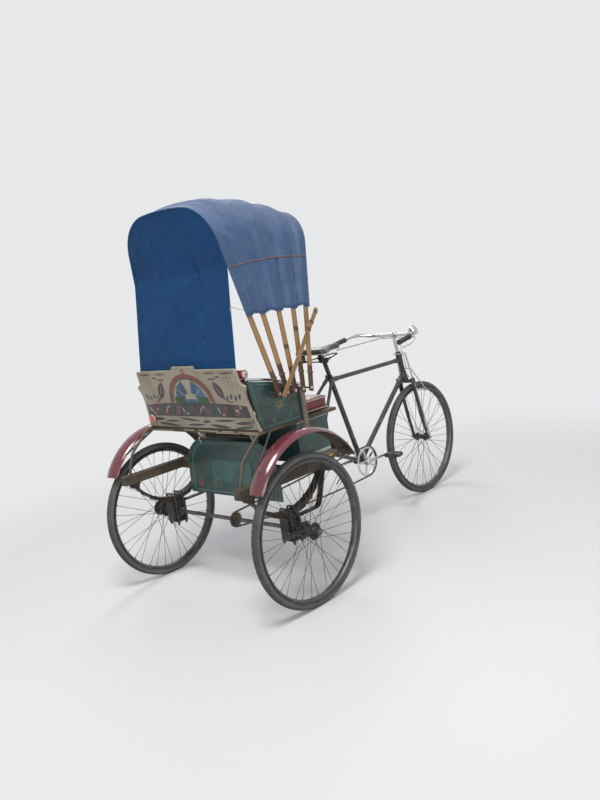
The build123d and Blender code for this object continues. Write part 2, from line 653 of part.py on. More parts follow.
def chain():
    """The chain's two rows of side plates, straight above and sagging below."""
    big = CHAIN_PITCH / (2 * sin(pi / RING_TEETH))
    small = CHAIN_PITCH / (2 * sin(pi / COG_TEETH))
    dx, dz = BB_X, BB_Z - WHEEL_Z
    span = hypot(dx, dz)
    slope = atan2(dz, dx) + asin((big - small) / span)

    def ring(offset):
        r1, r0 = big + offset, small + offset
        up = (-sin(slope), cos(slope))
        down_slope = atan2(dz, dx) - asin((big - small) / span)
        down = (sin(down_slope), -cos(down_slope))
        a = (r0 * up[0], WHEEL_Z + r0 * up[1])
        b = (BB_X + r1 * up[0], BB_Z + r1 * up[1])
        c = (BB_X + r1 * down[0], BB_Z + r1 * down[1])
        d = (r0 * down[0], WHEEL_Z + r0 * down[1])
        middle = ((c[0] + d[0]) / 2, (c[1] + d[1]) / 2 - CHAIN_SAG)
        lift = [(x, 0, z) for x, z in (a, b, c, d, middle)]
        top = Line(lift[0], lift[1])
        front = ThreePointArc(lift[1], (BB_X + r1, 0, BB_Z), lift[2])
        bottom = ThreePointArc(lift[2], lift[4], lift[3])
        rear = ThreePointArc(lift[3], (-r0, 0, WHEEL_Z), lift[0])
        return make_face(top + front + bottom + rear)

    band = ring(CHAIN_HEIGHT / 2) - ring(-CHAIN_HEIGHT / 2)
    row = extrude(band, CHAIN_PLATE / 2, dir=(0, 1, 0), both=True)
    offset = (CHAIN_SLOT + CHAIN_PLATE) / 2
    return Compound(children=[Pos(0, CHAIN_Y + side * offset, 0) * row for side in (1, -1)])


def leaf_spring(side):
    """A stack of leaves bent upward at both ends, with a rolled eye at each end of the longest."""
    radius = (SPRING_HALF_SPAN**2 + SPRING_RISE**2) / (2 * SPRING_RISE)
    count = len(LEAF_SHARES)
    top_z = SPRING_SEAT_Z + count * LEAF_THICKNESS
    centre_z = top_z - LEAF_THICKNESS / 2 + radius
    sweep_angle = asin(SPRING_HALF_SPAN / radius)
    stack = None

    def corner(r, a):
        return (r * sin(a), 0, centre_z - r * cos(a))

    for i, share in enumerate(LEAF_SHARES):
        inner = radius - LEAF_THICKNESS / 2 + i * LEAF_THICKNESS
        outer = inner + LEAF_THICKNESS
        half = sweep_angle * share
        low = ThreePointArc(corner(outer, -half), corner(outer, 0), corner(outer, half))
        high = ThreePointArc(corner(inner, half), corner(inner, 0), corner(inner, -half))
        ends = Line(corner(outer, half), corner(inner, half))
        ends += Line(corner(inner, -half), corner(outer, -half))
        leaf = extrude(make_face(low + high + ends), SPRING_WIDTH / 2, dir=(0, 1, 0), both=True)
        stack = leaf if stack is None else stack + leaf
    eye_z = centre_z - radius * cos(sweep_angle)
    for x in (-SPRING_HALF_SPAN, SPRING_HALF_SPAN):
        stack += across(x, eye_z, EYE_RADIUS, -SPRING_WIDTH / 2, SPRING_WIDTH / 2)
    for x in (-SPRING_HALF_SPAN, SPRING_HALF_SPAN):
        stack -= across(x, eye_z, EYE_PIN_RADIUS + 0.1, -SPRING_WIDTH, SPRING_WIDTH)
    return Pos(0, side * SPRING_Y, 0) * stack, eye_z


def radius_strap(y):
    """A flat bar from the front of an axle block, under the spring, up to the timber."""
    top_z = TIMBER_TOP_Z - TIMBER - STRAP_THICK / 2
    points = [(BLOCK_LENGTH / 2, y, STRAP_Z), (STRAP_KNEE_X, y, STRAP_Z)]
    points += [(STRAP_TOP_X, y, top_z), (STRAP_TOP_X + STRAP_TAB, y, top_z)]
    path = FilletPolyline(*points, radius=STRAP_BEND)
    start = Plane(origin=path @ 0, x_dir=(0, 1, 0), z_dir=path % 0)
    return sweep(start * Rectangle(STRAP_WIDTH, STRAP_THICK), path=path)


def springs():
    """The leaf springs with their hangers, and the axle blocks with their clamps and straps."""
    stacks, hangers, blocks, clamps, straps = [], [], [], [], []
    for side in (1, -1):
        stack, eye_z = leaf_spring(side)
        stacks.append(stack)
        y = side * SPRING_Y
        leaf_low, leaf_high, foot = y - SPRING_WIDTH / 2, y + SPRING_WIDTH / 2, TIMBER_TOP_Z - TIMBER
        for x in (-SPRING_HALF_SPAN, SPRING_HALF_SPAN):
            ear = across(x, eye_z, EYE_PIN_RADIUS, leaf_low - 8, leaf_high + 8)
            low_z = eye_z - HANGER_BELOW_EYE
            plate = [(x - 12, low_z), (x + 12, low_z), (x + 18, foot), (x - 18, foot)]
            for face in (leaf_low - 1 - HANGER_PLATE, leaf_high + 1):
                ear += side_plate(plate, face, face + HANGER_PLATE)
            ear += bar_x(x - 24, x + 24, y - 29, y + 29, foot - HANGER_PLATE, foot)
            hangers.append(ear)
        low = WHEEL_Z - BLOCK_DROP
        half, side_y = BLOCK_LENGTH / 2, BLOCK_WIDTH / 2
        block = bar_x(-half, half, y - side_y, y + side_y, low, SPRING_SEAT_Z)
        blocks.append(block - across(0, WHEEL_Z, AXLE_RADIUS + RUNNING_GAP, y - 60, y + 60))
        top = SPRING_SEAT_Z + len(LEAF_SHARES) * LEAF_THICKNESS
        clamp = bar_x(-34, 34, y - 38, y + 38, top + 4.5, top + 11)
        clamp += bar_x(-34, 34, y - 38, y + 38, low - 6, low)
        for x in (-25, 25):
            for off in (-32.5, 32.5):
                clamp += rod((x, y + off, low - 22), (x, y + off, top + 18), 5)
        clamps.append(clamp)
        straps.append(radius_strap(y))
    keep("radius_straps", Compound(children=straps))
    keep("leaf_springs", Compound(children=stacks))
    keep("spring_hangers", Compound(children=hangers))
    keep("axle_blocks", Compound(children=blocks))
    keep("spring_clamps", Compound(children=clamps))


def underframe():
    """The timber frame, the two angle rails on it and the footboard."""
    low = TIMBER_TOP_Z - TIMBER
    half_x = SPRING_HALF_SPAN + TIMBER_OVERHANG
    timbers = []
    for side in (1, -1):
        y = side * SPRING_Y
        timbers.append(bar_x(-half_x, half_x, y - TIMBER / 2, y + TIMBER / 2, low, TIMBER_TOP_Z))
    inner, outer = SPRING_Y - TIMBER / 2 - SEAT_GAP, SPRING_Y + TIMBER / 2
    front_x = half_x + SEAT_GAP + TIMBER / 2
    for x, reach in ((CROSS_BEAM_X, inner), (front_x, outer)):
        timbers.append(bar_x(x - TIMBER / 2, x + TIMBER / 2, -reach, reach, low, TIMBER_TOP_Z))
    keep("timber_frame", Compound(children=timbers))

    rails = []
    for side in (1, -1):
        y = side * RAIL_Y
        outer = y + side * RAIL_SIZE / 2
        web = sorted((outer, outer - side * RAIL_WALL))
        leg = sorted((outer, outer - side * RAIL_SIZE))
        rail = bar_x(RAIL_REAR_X, RAIL_FRONT_X, leg[0], leg[1], low - RAIL_WALL, low)
        rail += bar_x(RAIL_REAR_X, RAIL_FRONT_X, web[0], web[1], low - RAIL_SIZE, low)
        rails.append(rail)
    keep("chassis_rails", Compound(children=rails))

    w = FLOOR_HALF_WIDTH
    floor = bar_x(BOX_FRONT_X + 2, FLOOR_FRONT_X, -w, w, low, low + FLOOR_BOARD)
    floor += bar_x(FLOOR_FRONT_X - BOX_WALL, FLOOR_FRONT_X, -w, w, low, low + FLOOR_LIP)
    keep("footboard", floor)


def back_x(z):
    """The seat back board's middle plane at a height."""
    return BACK_BASE_X - (z - SEAT_Z - SEAT_BOARD) * tan(radians(BACK_RECLINE))


def back_board():
    """The painted board: waisted sides with an ear each, and a squared crest."""
    lean = radians(BACK_RECLINE)
    foot = SEAT_Z + SEAT_BOARD
    plane = Plane(origin=(BACK_BASE_X, 0, foot), x_dir=(0, 1, 0), z_dir=(cos(lean), 0, sin(lean)))
    edge = [(half, (z - foot) / cos(lean)) for half, z in BACK_EDGE]
    top, crest = (BACK_TOP_Z - foot) / cos(lean), BACK_CREST_WIDTH / 2
    edge += [(edge[-1][0] - 10, top), (crest, top), (crest - 4, top + BACK_CREST)]
    outline = edge + [(-half, up) for half, up in reversed(edge)]
    return extrude(plane * make_face(Polyline(*outline, close=True)), BACK_BOARD / 2, both=True)


def tail_panel():
    """The sheet that hangs between the rear wheels, with rounded shoulders."""
    w, top = TAIL_HALF_WIDTH, TAIL_TOP_HALF_WIDTH
    low, shoulder, high = (0, w, TAIL_LOW_Z), (0, w - 6, TAIL_SHOULDER_Z - 30), (0, top, TAIL_TOP_Z)
    bend = (0, (w + top) / 2 + 22, (TAIL_SHOULDER_Z + TAIL_TOP_Z) / 2 + 4)
    far_low, far_shoulder, far_bend, far_high = [(0, -y, z) for _, y, z in (low, shoulder, bend, high)]
    edge = Line(low, shoulder) + ThreePointArc(shoulder, bend, high) + Line(high, far_high)
    edge += ThreePointArc(far_high, far_bend, far_shoulder) + Polyline(far_shoulder, far_low, low)
    sheet = extrude(make_face(edge), TAIL_SHEET / 2, dir=(1, 0, 0), both=True)
    return Pos(TAIL_FRONT_X - TAIL_SHEET / 2, 0, 0) * sheet


def body():
    """The seat box, seat board, tail and back panels, seat posts and side panels with their rails."""
    x0, x1, w, t = BOX_REAR_X, BOX_FRONT_X, BOX_HALF_WIDTH, BOX_WALL
    box = bar_x(x0, x1, -w, w, TIMBER_TOP_Z, SEAT_Z)
    box -= bar_x(x0 + t, x1 - t, -w + t, w - t, TIMBER_TOP_Z + t, SEAT_Z + 10)
    keep("seat_box", box)
    top = SEAT_Z + SEAT_BOARD
    board = bar_x(SEAT_BOARD_REAR_X, SEAT_BOARD_FRONT_X, -BODY_HALF_WIDTH, BODY_HALF_WIDTH, SEAT_Z, top)
    keep("seat_board", board)
    keep("tail_panel", tail_panel())
    keep("seat_back_board", back_board())

    posts = across(SEAT_POST_X, SEAT_RAIL_Z, SEAT_RAIL_RADIUS, -SEAT_POST_Y, SEAT_POST_Y)
    half = SEAT_POST / 2
    for y in (-SEAT_POST_Y, SEAT_POST_Y):
        posts += bar_x(SEAT_POST_X - half, SEAT_POST_X + half, y - half, y + half, TIMBER_TOP_Z, SEAT_Z)
    keep("seat_posts", posts)

    gap = BACK_BOARD / 2 / cos(radians(BACK_RECLINE)) + 1.5
    rear_x, rear_top = back_x(top) + gap, back_x(SIDE_REAR_Z) + gap
    post, knee = (SIDE_POST_X, SIDE_POST_Z), (SIDE_KNEE_X, SIDE_KNEE_Z)
    outline = [(rear_x, top), (SIDE_POST_X, top), post, knee, (rear_top, SIDE_REAR_Z)]
    lift = ARM_RAIL_RADIUS + SEAT_GAP
    sides, rails = [], []
    for side in (1, -1):
        y = side * (SIDE_FACE_Y - SIDE_PANEL / 2)
        sides.append(side_plate(outline, y - SIDE_PANEL / 2, y + SIDE_PANEL / 2))
        points = [(rear_top + 4, y, SIDE_REAR_Z + lift), (knee[0], y, knee[1] + lift + 2)]
        points.append((post[0] + 6, y, post[1] + lift + 2))
        rails.append(bent_tube(points, ARM_RAIL_RADIUS, 60))
    keep("side_panels", Compound(children=sides))
    keep("armrest_rails", Compound(children=rails))


def cushions():
    """The seat cushion on its board and the back cushion against the back board."""
    top = SEAT_Z + SEAT_BOARD + SEAT_GAP
    lean = radians(BACK_RECLINE)
    face = (BACK_BOARD / 2 + SEAT_GAP) / cos(lean)
    half = SIDE_FACE_Y - SIDE_PANEL - CUSHION_GAP
    seat = bar_x(back_x(top) + face, SEAT_BOARD_FRONT_X - 6, -half, half, top, top + SEAT_CUSHION_THICK)
    keep("seat_cushion", fillet(seat.edges(), CUSHION_EDGE))
    low = top + SEAT_CUSHION_THICK + SEAT_GAP
    height = BACK_CUSHION_TOP_Z - low
    middle = low + height / 2
    x = back_x(middle) + face + BACK_CUSHION_THICK / 2 / cos(lean)
    pad = Pos(x, 0, middle) * Rot(0, -BACK_RECLINE, 0) * Box(BACK_CUSHION_THICK, 2 * half - 10, height)
    pad -= Pos(x, 0, low - 50) * Box(400, 4 * half, 100)
    keep("back_cushion", fillet(pad.edges(), CUSHION_EDGE))


def corner_struts():
    """A bent cane a side, from a rear corner of the seat board down to the side timber."""
    struts = []
    for side in (1, -1):
        y = side * (BODY_HALF_WIDTH + SEAT_GAP + STRUT_THICK / 2)
        points = [(x, y, z) for x, z in STRUT_PATH]
        points.append((STRUT_PATH[-1][0], y, TIMBER_TOP_Z + SEAT_GAP))
        path = FilletPolyline(*points, radius=STRUT_BEND)
        start = Plane(origin=path @ 0, x_dir=(0, 1, 0), z_dir=path % 0)
        struts.append(sweep(start * Rectangle(STRUT_THICK, STRUT_WIDTH), path=path))
    keep("corner_struts", Compound(children=struts))


def fender(side):
    """A crowned strip bent over the wheel, without its stays."""
    r, w, t = FENDER_RADIUS, FENDER_WIDTH / 2, FENDER_SHEET
    y = side * (FENDER_INNER_Y + w)
    outer = [(r - 7, -w), (r + FENDER_CROWN * 0.45, -0.62 * w), (r + FENDER_CROWN, 0)]
    outer += [(r + FENDER_CROWN * 0.45, 0.62 * w), (r - 7, w)]
    inner = [(radius - t, offset * (1 - t / w)) for radius, offset in reversed(outer)]
    face = make_face(Polyline(*[(radius, offset, 0) for radius, offset in outer + inner], close=True))
    face = Rot(0, -FENDER_FRONT_DEG, 0) * face
    strip = revolve(face, Axis((0, 0, 0), (0, -1, 0)), FENDER_REAR_DEG - FENDER_FRONT_DEG)
    return Pos(FENDER_X, y, FENDER_Z) * strip


def fenders():
    """Both fenders with their two stays each."""
    shapes = []
    for side in (1, -1):
        shape = fender(side)
        tip_y = side * (FENDER_INNER_Y + FENDER_WIDTH / 2)
        reach = FENDER_RADIUS + FENDER_CROWN - FENDER_SHEET
        beam_y = side * (SPRING_Y + TIMBER / 2 + SEAT_GAP)
        plank_y = side * (BODY_HALF_WIDTH + SEAT_GAP)
        beam = (SPRING_HALF_SPAN + 15, beam_y, TIMBER_TOP_Z - 20)
        plank = (SEAT_BOARD_REAR_X + 50, plank_y, SEAT_Z + SEAT_BOARD / 2)
        for deg, foot in ((FENDER_FRONT_STAY_DEG, beam), (FENDER_REAR_STAY_DEG, plank)):
            a = radians(deg)
            tip = (FENDER_X + reach * cos(a), tip_y, FENDER_Z + reach * sin(a))
            shape += rod(tip, (foot[0], foot[1] + side * 5, foot[2]), FENDER_STAY_RADIUS)
            shape += across(foot[0], foot[2], FENDER_STAY_PAD, *sorted((foot[1], foot[1] + side * 8)))
        shapes.append(shape)
    keep("fenders", Compound(children=shapes))


def hoop_profile(base, top, corner, lean_in=HOOP_LEAN_IN, crown=HOOP_CROWN_DEG):
    """Leg length and crown radius of a hoop that is base wide at its pins and top high."""
    a, c = radians(lean_in), radians(90 - crown)
    across_corner = corner * (cos(a) - cos(c))
    up_corner = corner * (sin(c) - sin(a))
    # base - S sin a - across - R cos c = 0 and S cos a + up + R (1 - sin c) = top
    det = sin(a) * (1 - sin(c)) - cos(c) * cos(a)
    left, right = base - across_corner, top - up_corner
    leg = (left * (1 - sin(c)) - cos(c) * right) / det
    radius = (sin(a) * right - cos(a) * left) / det
    return leg, radius


def hoop_line(index, offset, foot):
    """The hoop's outline in its own plane as (y, s) points, offset outward, from s = foot upward."""
    lean, top = HOOPS[index]
    a, c = radians(HOOP_LEAN_IN), radians(90 - HOOP_CROWN_DEG)
    base = HOOP_BASE_Y + index * HOOP_PITCH_Y + offset / cos(a)
    corner = HOOP_CORNER + offset
    leg, crown = hoop_profile(base, top + offset, corner)
    start = (base - foot * tan(a), foot)
    knee = (base - leg * sin(a), leg * cos(a))
    centre = (knee[0] - corner * cos(a), knee[1] - corner * sin(a))
    middle = (a + c) / 2
    bend = (centre[0] + corner * cos(middle), centre[1] + corner * sin(middle))
    shoulder = (centre[0] + corner * cos(c), centre[1] + corner * sin(c))
    return start, knee, bend, shoulder, (0.0, top + offset)


def flipped(point):
    """A point of a hoop's outline on its other side."""
    return (-point[0], point[1])


def hoop_wire(index, offset, foot):
    """The whole outline of a hoop, from one foot over the bow to the other."""
    start, knee, bend, shoulder, peak = hoop_line(index, offset, foot)
    line = Line(start, knee) + ThreePointArc(knee, bend, shoulder)
    line += ThreePointArc(shoulder, peak, flipped(shoulder))
    line += ThreePointArc(flipped(shoulder), flipped(bend), flipped(knee))
    line += Line(flipped(knee), flipped(start))
    return line


def hoop_band(index, inner, outer, foot):
    """A U-shaped face between two offsets of a hoop's outline."""
    a, b = hoop_line(index, inner, foot)[0], hoop_line(index, outer, foot)[0]
    edges = hoop_wire(index, inner, foot) + hoop_wire(index, outer, foot)
    edges += Line(a, b) + Line((-a[0], a[1]), (-b[0], b[1]))
    return make_face(edges)


def hoop_plane(index, forward=0.0):
    """The plane of a hoop: its x runs along Y and its y up the hoop."""
    lean = radians(HOOPS[index][0])
    up = Vector(sin(lean), 0, cos(lean))
    out = Vector(cos(lean), 0, -sin(lean))
    pivot = Vector(HOOP_FIRST_X + index * HOOP_PITCH_X, 0, HOOP_PIVOT_Z)
    return Plane(origin=pivot + out * forward, x_dir=(0, 1, 0), z_dir=out)


def hood():
    """The hoops on their brackets, the cover over them, the rear curtain and the braces."""
    ends = HOOP_WIDTH / 2
    for i in range(len(HOOPS)):
        band = hoop_band(i, -HOOP_THICK / 2, HOOP_THICK / 2, -ends)
        hoop = extrude(hoop_plane(i) * band, ends, both=True)
        x = HOOP_FIRST_X + i * HOOP_PITCH_X
        hoop -= across(x, HOOP_PIVOT_Z, HOOP_PIN_RADIUS + RUNNING_GAP, -600, 600)
        feet = [e for e in hoop.edges() if abs(e.length - HOOP_THICK) < 1 and e.center().Z < HOOP_PIVOT_Z]
        hoop = fillet(feet, ends - 1)
        keep(f"hood_hoop_{i + 1}", hoop)

    brackets = []
    last = len(HOOPS) - 1
    for side in (1, -1):
        inner = SIDE_FACE_Y + SEAT_GAP
        y0, y1 = sorted((side * inner, side * (inner + 4)))
        x0, x1 = HOOP_FIRST_X - 18, HOOP_FIRST_X + last * HOOP_PITCH_X + 18
        plate = bar_x(x0, x1, y0, y1, HOOP_PIVOT_Z - 20, HOOP_PIVOT_Z + 14)
        for i in range(len(HOOPS)):
            x = HOOP_FIRST_X + i * HOOP_PITCH_X
            face = HOOP_BASE_Y + i * HOOP_PITCH_Y + HOOP_THICK / 2 + HOOP_SIDE_PLAY
            ends_y = sorted((side * face, side * (face + HOOP_PIN_HEAD)))
            plate += across(x, HOOP_PIVOT_Z, HOOP_PIN_RADIUS, *sorted((side * inner, ends_y[side == 1])))
            plate += across(x, HOOP_PIVOT_Z, HOOP_PIN_HEAD_RADIUS, *ends_y)
        brackets.append(plate)
    keep("hood_brackets", Compound(children=brackets))

    inner = HOOP_THICK / 2 + COVER_GAP
    outer = inner + COVER_SHEET
    sections = []
    for i in range(len(HOOPS)):
        foot = (COVER_SIDE_Z - HOOP_PIVOT_Z) / cos(radians(HOOPS[i][0]))
        for shift in (-ends - 2, ends + 2):
            sections.append(hoop_plane(i, shift) * hoop_band(i, inner, outer, foot))
    cover = loft(sections, ruled=True)
    keep("hood_cover", cover)

    keep("rear_curtain", rear_curtain())
    keep("hood_braces", hood_braces())


def rear_curtain():
    """The sheet behind the first hoop: held to it above, then hanging back to the board."""
    lean = radians(HOOPS[0][0])

    def behind_hoop(z, extra):
        out = HOOP_WIDTH / 2 + CURTAIN_GAP + extra
        return HOOP_FIRST_X + (z - HOOP_PIVOT_Z) * tan(lean) - out / cos(lean)

    high, half = HOOP_PIVOT_Z + HOOPS[0][1] + COVER_SHEET, COVER_SHEET / 2
    front = [(behind_hoop(z, 0), z) for z in (high, CURTAIN_HOLD_Z)]
    front.append((CURTAIN_LOW_X + half, CURTAIN_LOW_Z))
    rear = [(behind_hoop(z, COVER_SHEET), z) for z in (high, CURTAIN_HOLD_Z)]
    rear.append((CURTAIN_LOW_X - half, CURTAIN_LOW_Z))
    bent = side_plate(front + rear[::-1], -2 * CURTAIN_HALF_WIDTH, 2 * CURTAIN_HALF_WIDTH)

    held = (CURTAIN_HOLD_Z - HOOP_PIVOT_Z) / cos(lean)
    hoop = hoop_line(0, CURTAIN_EDGE, held)
    start, knee, bend, shoulder, peak = [(y, HOOP_PIVOT_Z + up * cos(lean)) for y, up in hoop]
    foot = (CURTAIN_HALF_WIDTH, CURTAIN_LOW_Z)
    edge = Polyline(foot, start, knee) + ThreePointArc(knee, bend, shoulder)
    edge += ThreePointArc(shoulder, peak, flipped(shoulder))
    edge += ThreePointArc(flipped(shoulder), flipped(bend), flipped(knee))
    edge += Polyline(flipped(knee), flipped(start), flipped(foot), foot)
    outline = Plane(origin=(0, 0, 0), x_dir=(0, 1, 0), z_dir=(1, 0, 0)) * make_face(edge)
    return bent & extrude(outline, 2 * CURTAIN_HALF_WIDTH, both=True)


def hood_braces():
    """A slat a side, lashed on a block to the front hoop, that slants down past the other hoops."""
    last = len(HOOPS) - 1
    (x0, z0), (x1, z1) = BRACE_FOOT, BRACE_TIP
    lean = tan(radians(HOOPS[last][0]))
    pivot_x = HOOP_FIRST_X + last * HOOP_PITCH_X
    share = (pivot_x + (z0 - HOOP_PIVOT_Z) * lean - x0) / (x1 - x0 - (z1 - z0) * lean)
    cross_x, cross_z = x0 + share * (x1 - x0), z0 + share * (z1 - z0)
    up = hypot(cross_x - pivot_x, cross_z - HOOP_PIVOT_Z)
    hoop_y = HOOP_BASE_Y + last * HOOP_PITCH_Y - up * tan(radians(HOOP_LEAN_IN)) + HOOP_THICK
    run = hypot(x1 - x0, z1 - z0)
    across_x, across_z = -(z1 - z0) / run * BRACE_WIDTH / 2, (x1 - x0) / run * BRACE_WIDTH / 2
    outline = [(x0 + across_x, z0 + across_z), (x0 - across_x, z0 - across_z)]
    outline += [(x1 - across_x, z1 - across_z), (x1 + across_x, z1 + across_z)]
    slats = []
    for side in (1, -1):
        slat = side_plate(outline, *sorted((side * BRACE_Y, side * (BRACE_Y + BRACE_THICK))))
        block = sorted((side * hoop_y, side * BRACE_Y))
        slats.append(slat + across(cross_x, cross_z, BRACE_WIDTH / 2 - 2, *block))
    return Compound(children=slats)


wheels()
front_end()
bicycle_frame()
saddle()
front_brake()
drive()
springs()
underframe()
body()
cushions()
corner_struts()
fenders()
hood()

os.makedirs("parts", exist_ok=True)
for node, shape in NODES.items():
    export_step(shape, f"parts/{node}.step")
print(len(NODES), "nodes")
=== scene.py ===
"""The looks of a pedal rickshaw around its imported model.

Metres, +X forward, +Y left, +Z up. Pieces are shaped from the middle of the rear axle, as in the CAD
source, and moved by ORIGIN_X when they are made.
"""

from math import asin, atan2, cos, exp, hypot, pi, radians, sin, tan

import bmesh
import bpy
from mathutils import Matrix, Vector, noise


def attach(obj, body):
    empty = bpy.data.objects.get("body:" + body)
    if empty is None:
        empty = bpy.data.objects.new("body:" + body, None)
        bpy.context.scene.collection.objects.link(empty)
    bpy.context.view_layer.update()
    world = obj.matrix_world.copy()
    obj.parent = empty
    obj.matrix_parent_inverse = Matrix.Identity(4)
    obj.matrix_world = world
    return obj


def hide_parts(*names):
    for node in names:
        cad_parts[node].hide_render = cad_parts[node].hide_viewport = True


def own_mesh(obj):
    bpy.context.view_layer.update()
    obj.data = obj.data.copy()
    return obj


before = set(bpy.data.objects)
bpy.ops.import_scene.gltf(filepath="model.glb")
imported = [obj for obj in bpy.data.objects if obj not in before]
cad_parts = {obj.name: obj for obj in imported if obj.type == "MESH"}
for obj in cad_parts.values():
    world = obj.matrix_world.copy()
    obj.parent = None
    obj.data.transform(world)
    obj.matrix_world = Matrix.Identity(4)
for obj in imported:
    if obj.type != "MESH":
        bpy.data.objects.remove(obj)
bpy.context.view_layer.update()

# The photograph: its height in pixels, and the camera that its three wheels give
PHOTO_HEIGHT = 800
FOCAL_PIXELS = 824.4
CAMERA_AT = (-3.4008, -3.0484, 1.5236)
CAMERA_YAW = 43.83
CAMERA_PITCH = -9.03
CAMERA_ROLL = -8.15
SENSOR = 36.0

# The studio: the colour round the floor, and half the floor's width
SURROUND = (0.80, 0.81, 0.82, 1)
FLOOR_HALF = 60.0

ORIGIN_X = 0.840
X, Y, Z = Vector((1, 0, 0)), Vector((0, 1, 0)), Vector((0, 0, 1))


def turns(count, start=0.0, sweep=2 * pi):
    """Angles that divide a sweep, without its end."""
    return [start + sweep * i / count for i in range(count)]


def both_ends(half, middle=0.0):
    """A turned profile from its half: (radius, offset) points, with the offsets to both sides of a middle."""
    return [(r, middle - o) for r, o in half[::-1] if o] + [(r, middle + o) for r, o in half]


def looped(half):
    """A closed profile from the half that starts in its middle."""
    return half + [(r, -o) for r, o in half[:0:-1]]


def both_halves(half):
    """An outline that is the same on both sides of its second axis."""
    return half + [(-a, b) for a, b in half[::-1]]


def above_and_below(upper):
    """An outline from its upper half, whose ends lie on the first axis."""
    return upper + [(a, -b) for a, b in upper[-2:0:-1]]


def sideways(point):
    """The same place on the other side of the vehicle."""
    return Vector((point.x, -point.y, point.z))


def run_at(path, i):
    """The direction of a path at one of its points."""
    return (path[min(i + 1, len(path) - 1)] - path[max(i - 1, 0)]).normalized()


def square_to(axis):
    """Two unit vectors square to an axis and to each other."""
    side = axis.cross(Z)
    if side.length < 0.1 * axis.length:
        side = axis.cross(X)
    side.normalize()
    return side, side.cross(axis).normalized()


def rounded(points, bend, steps=6):
    """A path through points whose corners are curves that start bend away from them."""
    points = [Vector(p) for p in points]
    path = [points[0]]
    for before, corner, after in zip(points, points[1:], points[2:]):
        a = corner + (before - corner).normalized() * min(bend, 0.48 * (before - corner).length)
        b = corner + (after - corner).normalized() * min(bend, 0.48 * (after - corner).length)
        for i in range(steps + 1):
            t = i / steps
            path.append(a * (1 - t) ** 2 + corner * 2 * t * (1 - t) + b * t * t)
    return path + [points[-1]]


def smooth_line(points, steps=8):
    """A Catmull-Rom curve through points of any dimension."""
    ends = [points[0], *points, points[-1]]
    path = []
    for a, b, c, d in zip(ends, ends[1:], ends[2:], ends[3:]):
        for i in range(steps):
            t = i / steps
            path.append(tuple(
                0.5 * (2 * q + (r - p) * t + (2 * p - 5 * q + 4 * r - s) * t**2
                       + (3 * q - p - 3 * r + s) * t**3)
                for p, q, r, s in zip(a, b, c, d)))
    return path + [tuple(points[-1])]


def smooth_step(a, b, value):
    """0 up to a and 1 from b on, with an even slope between."""
    t = min(max((value - a) / (b - a), 0), 1)
    return t * t * (3 - 2 * t)


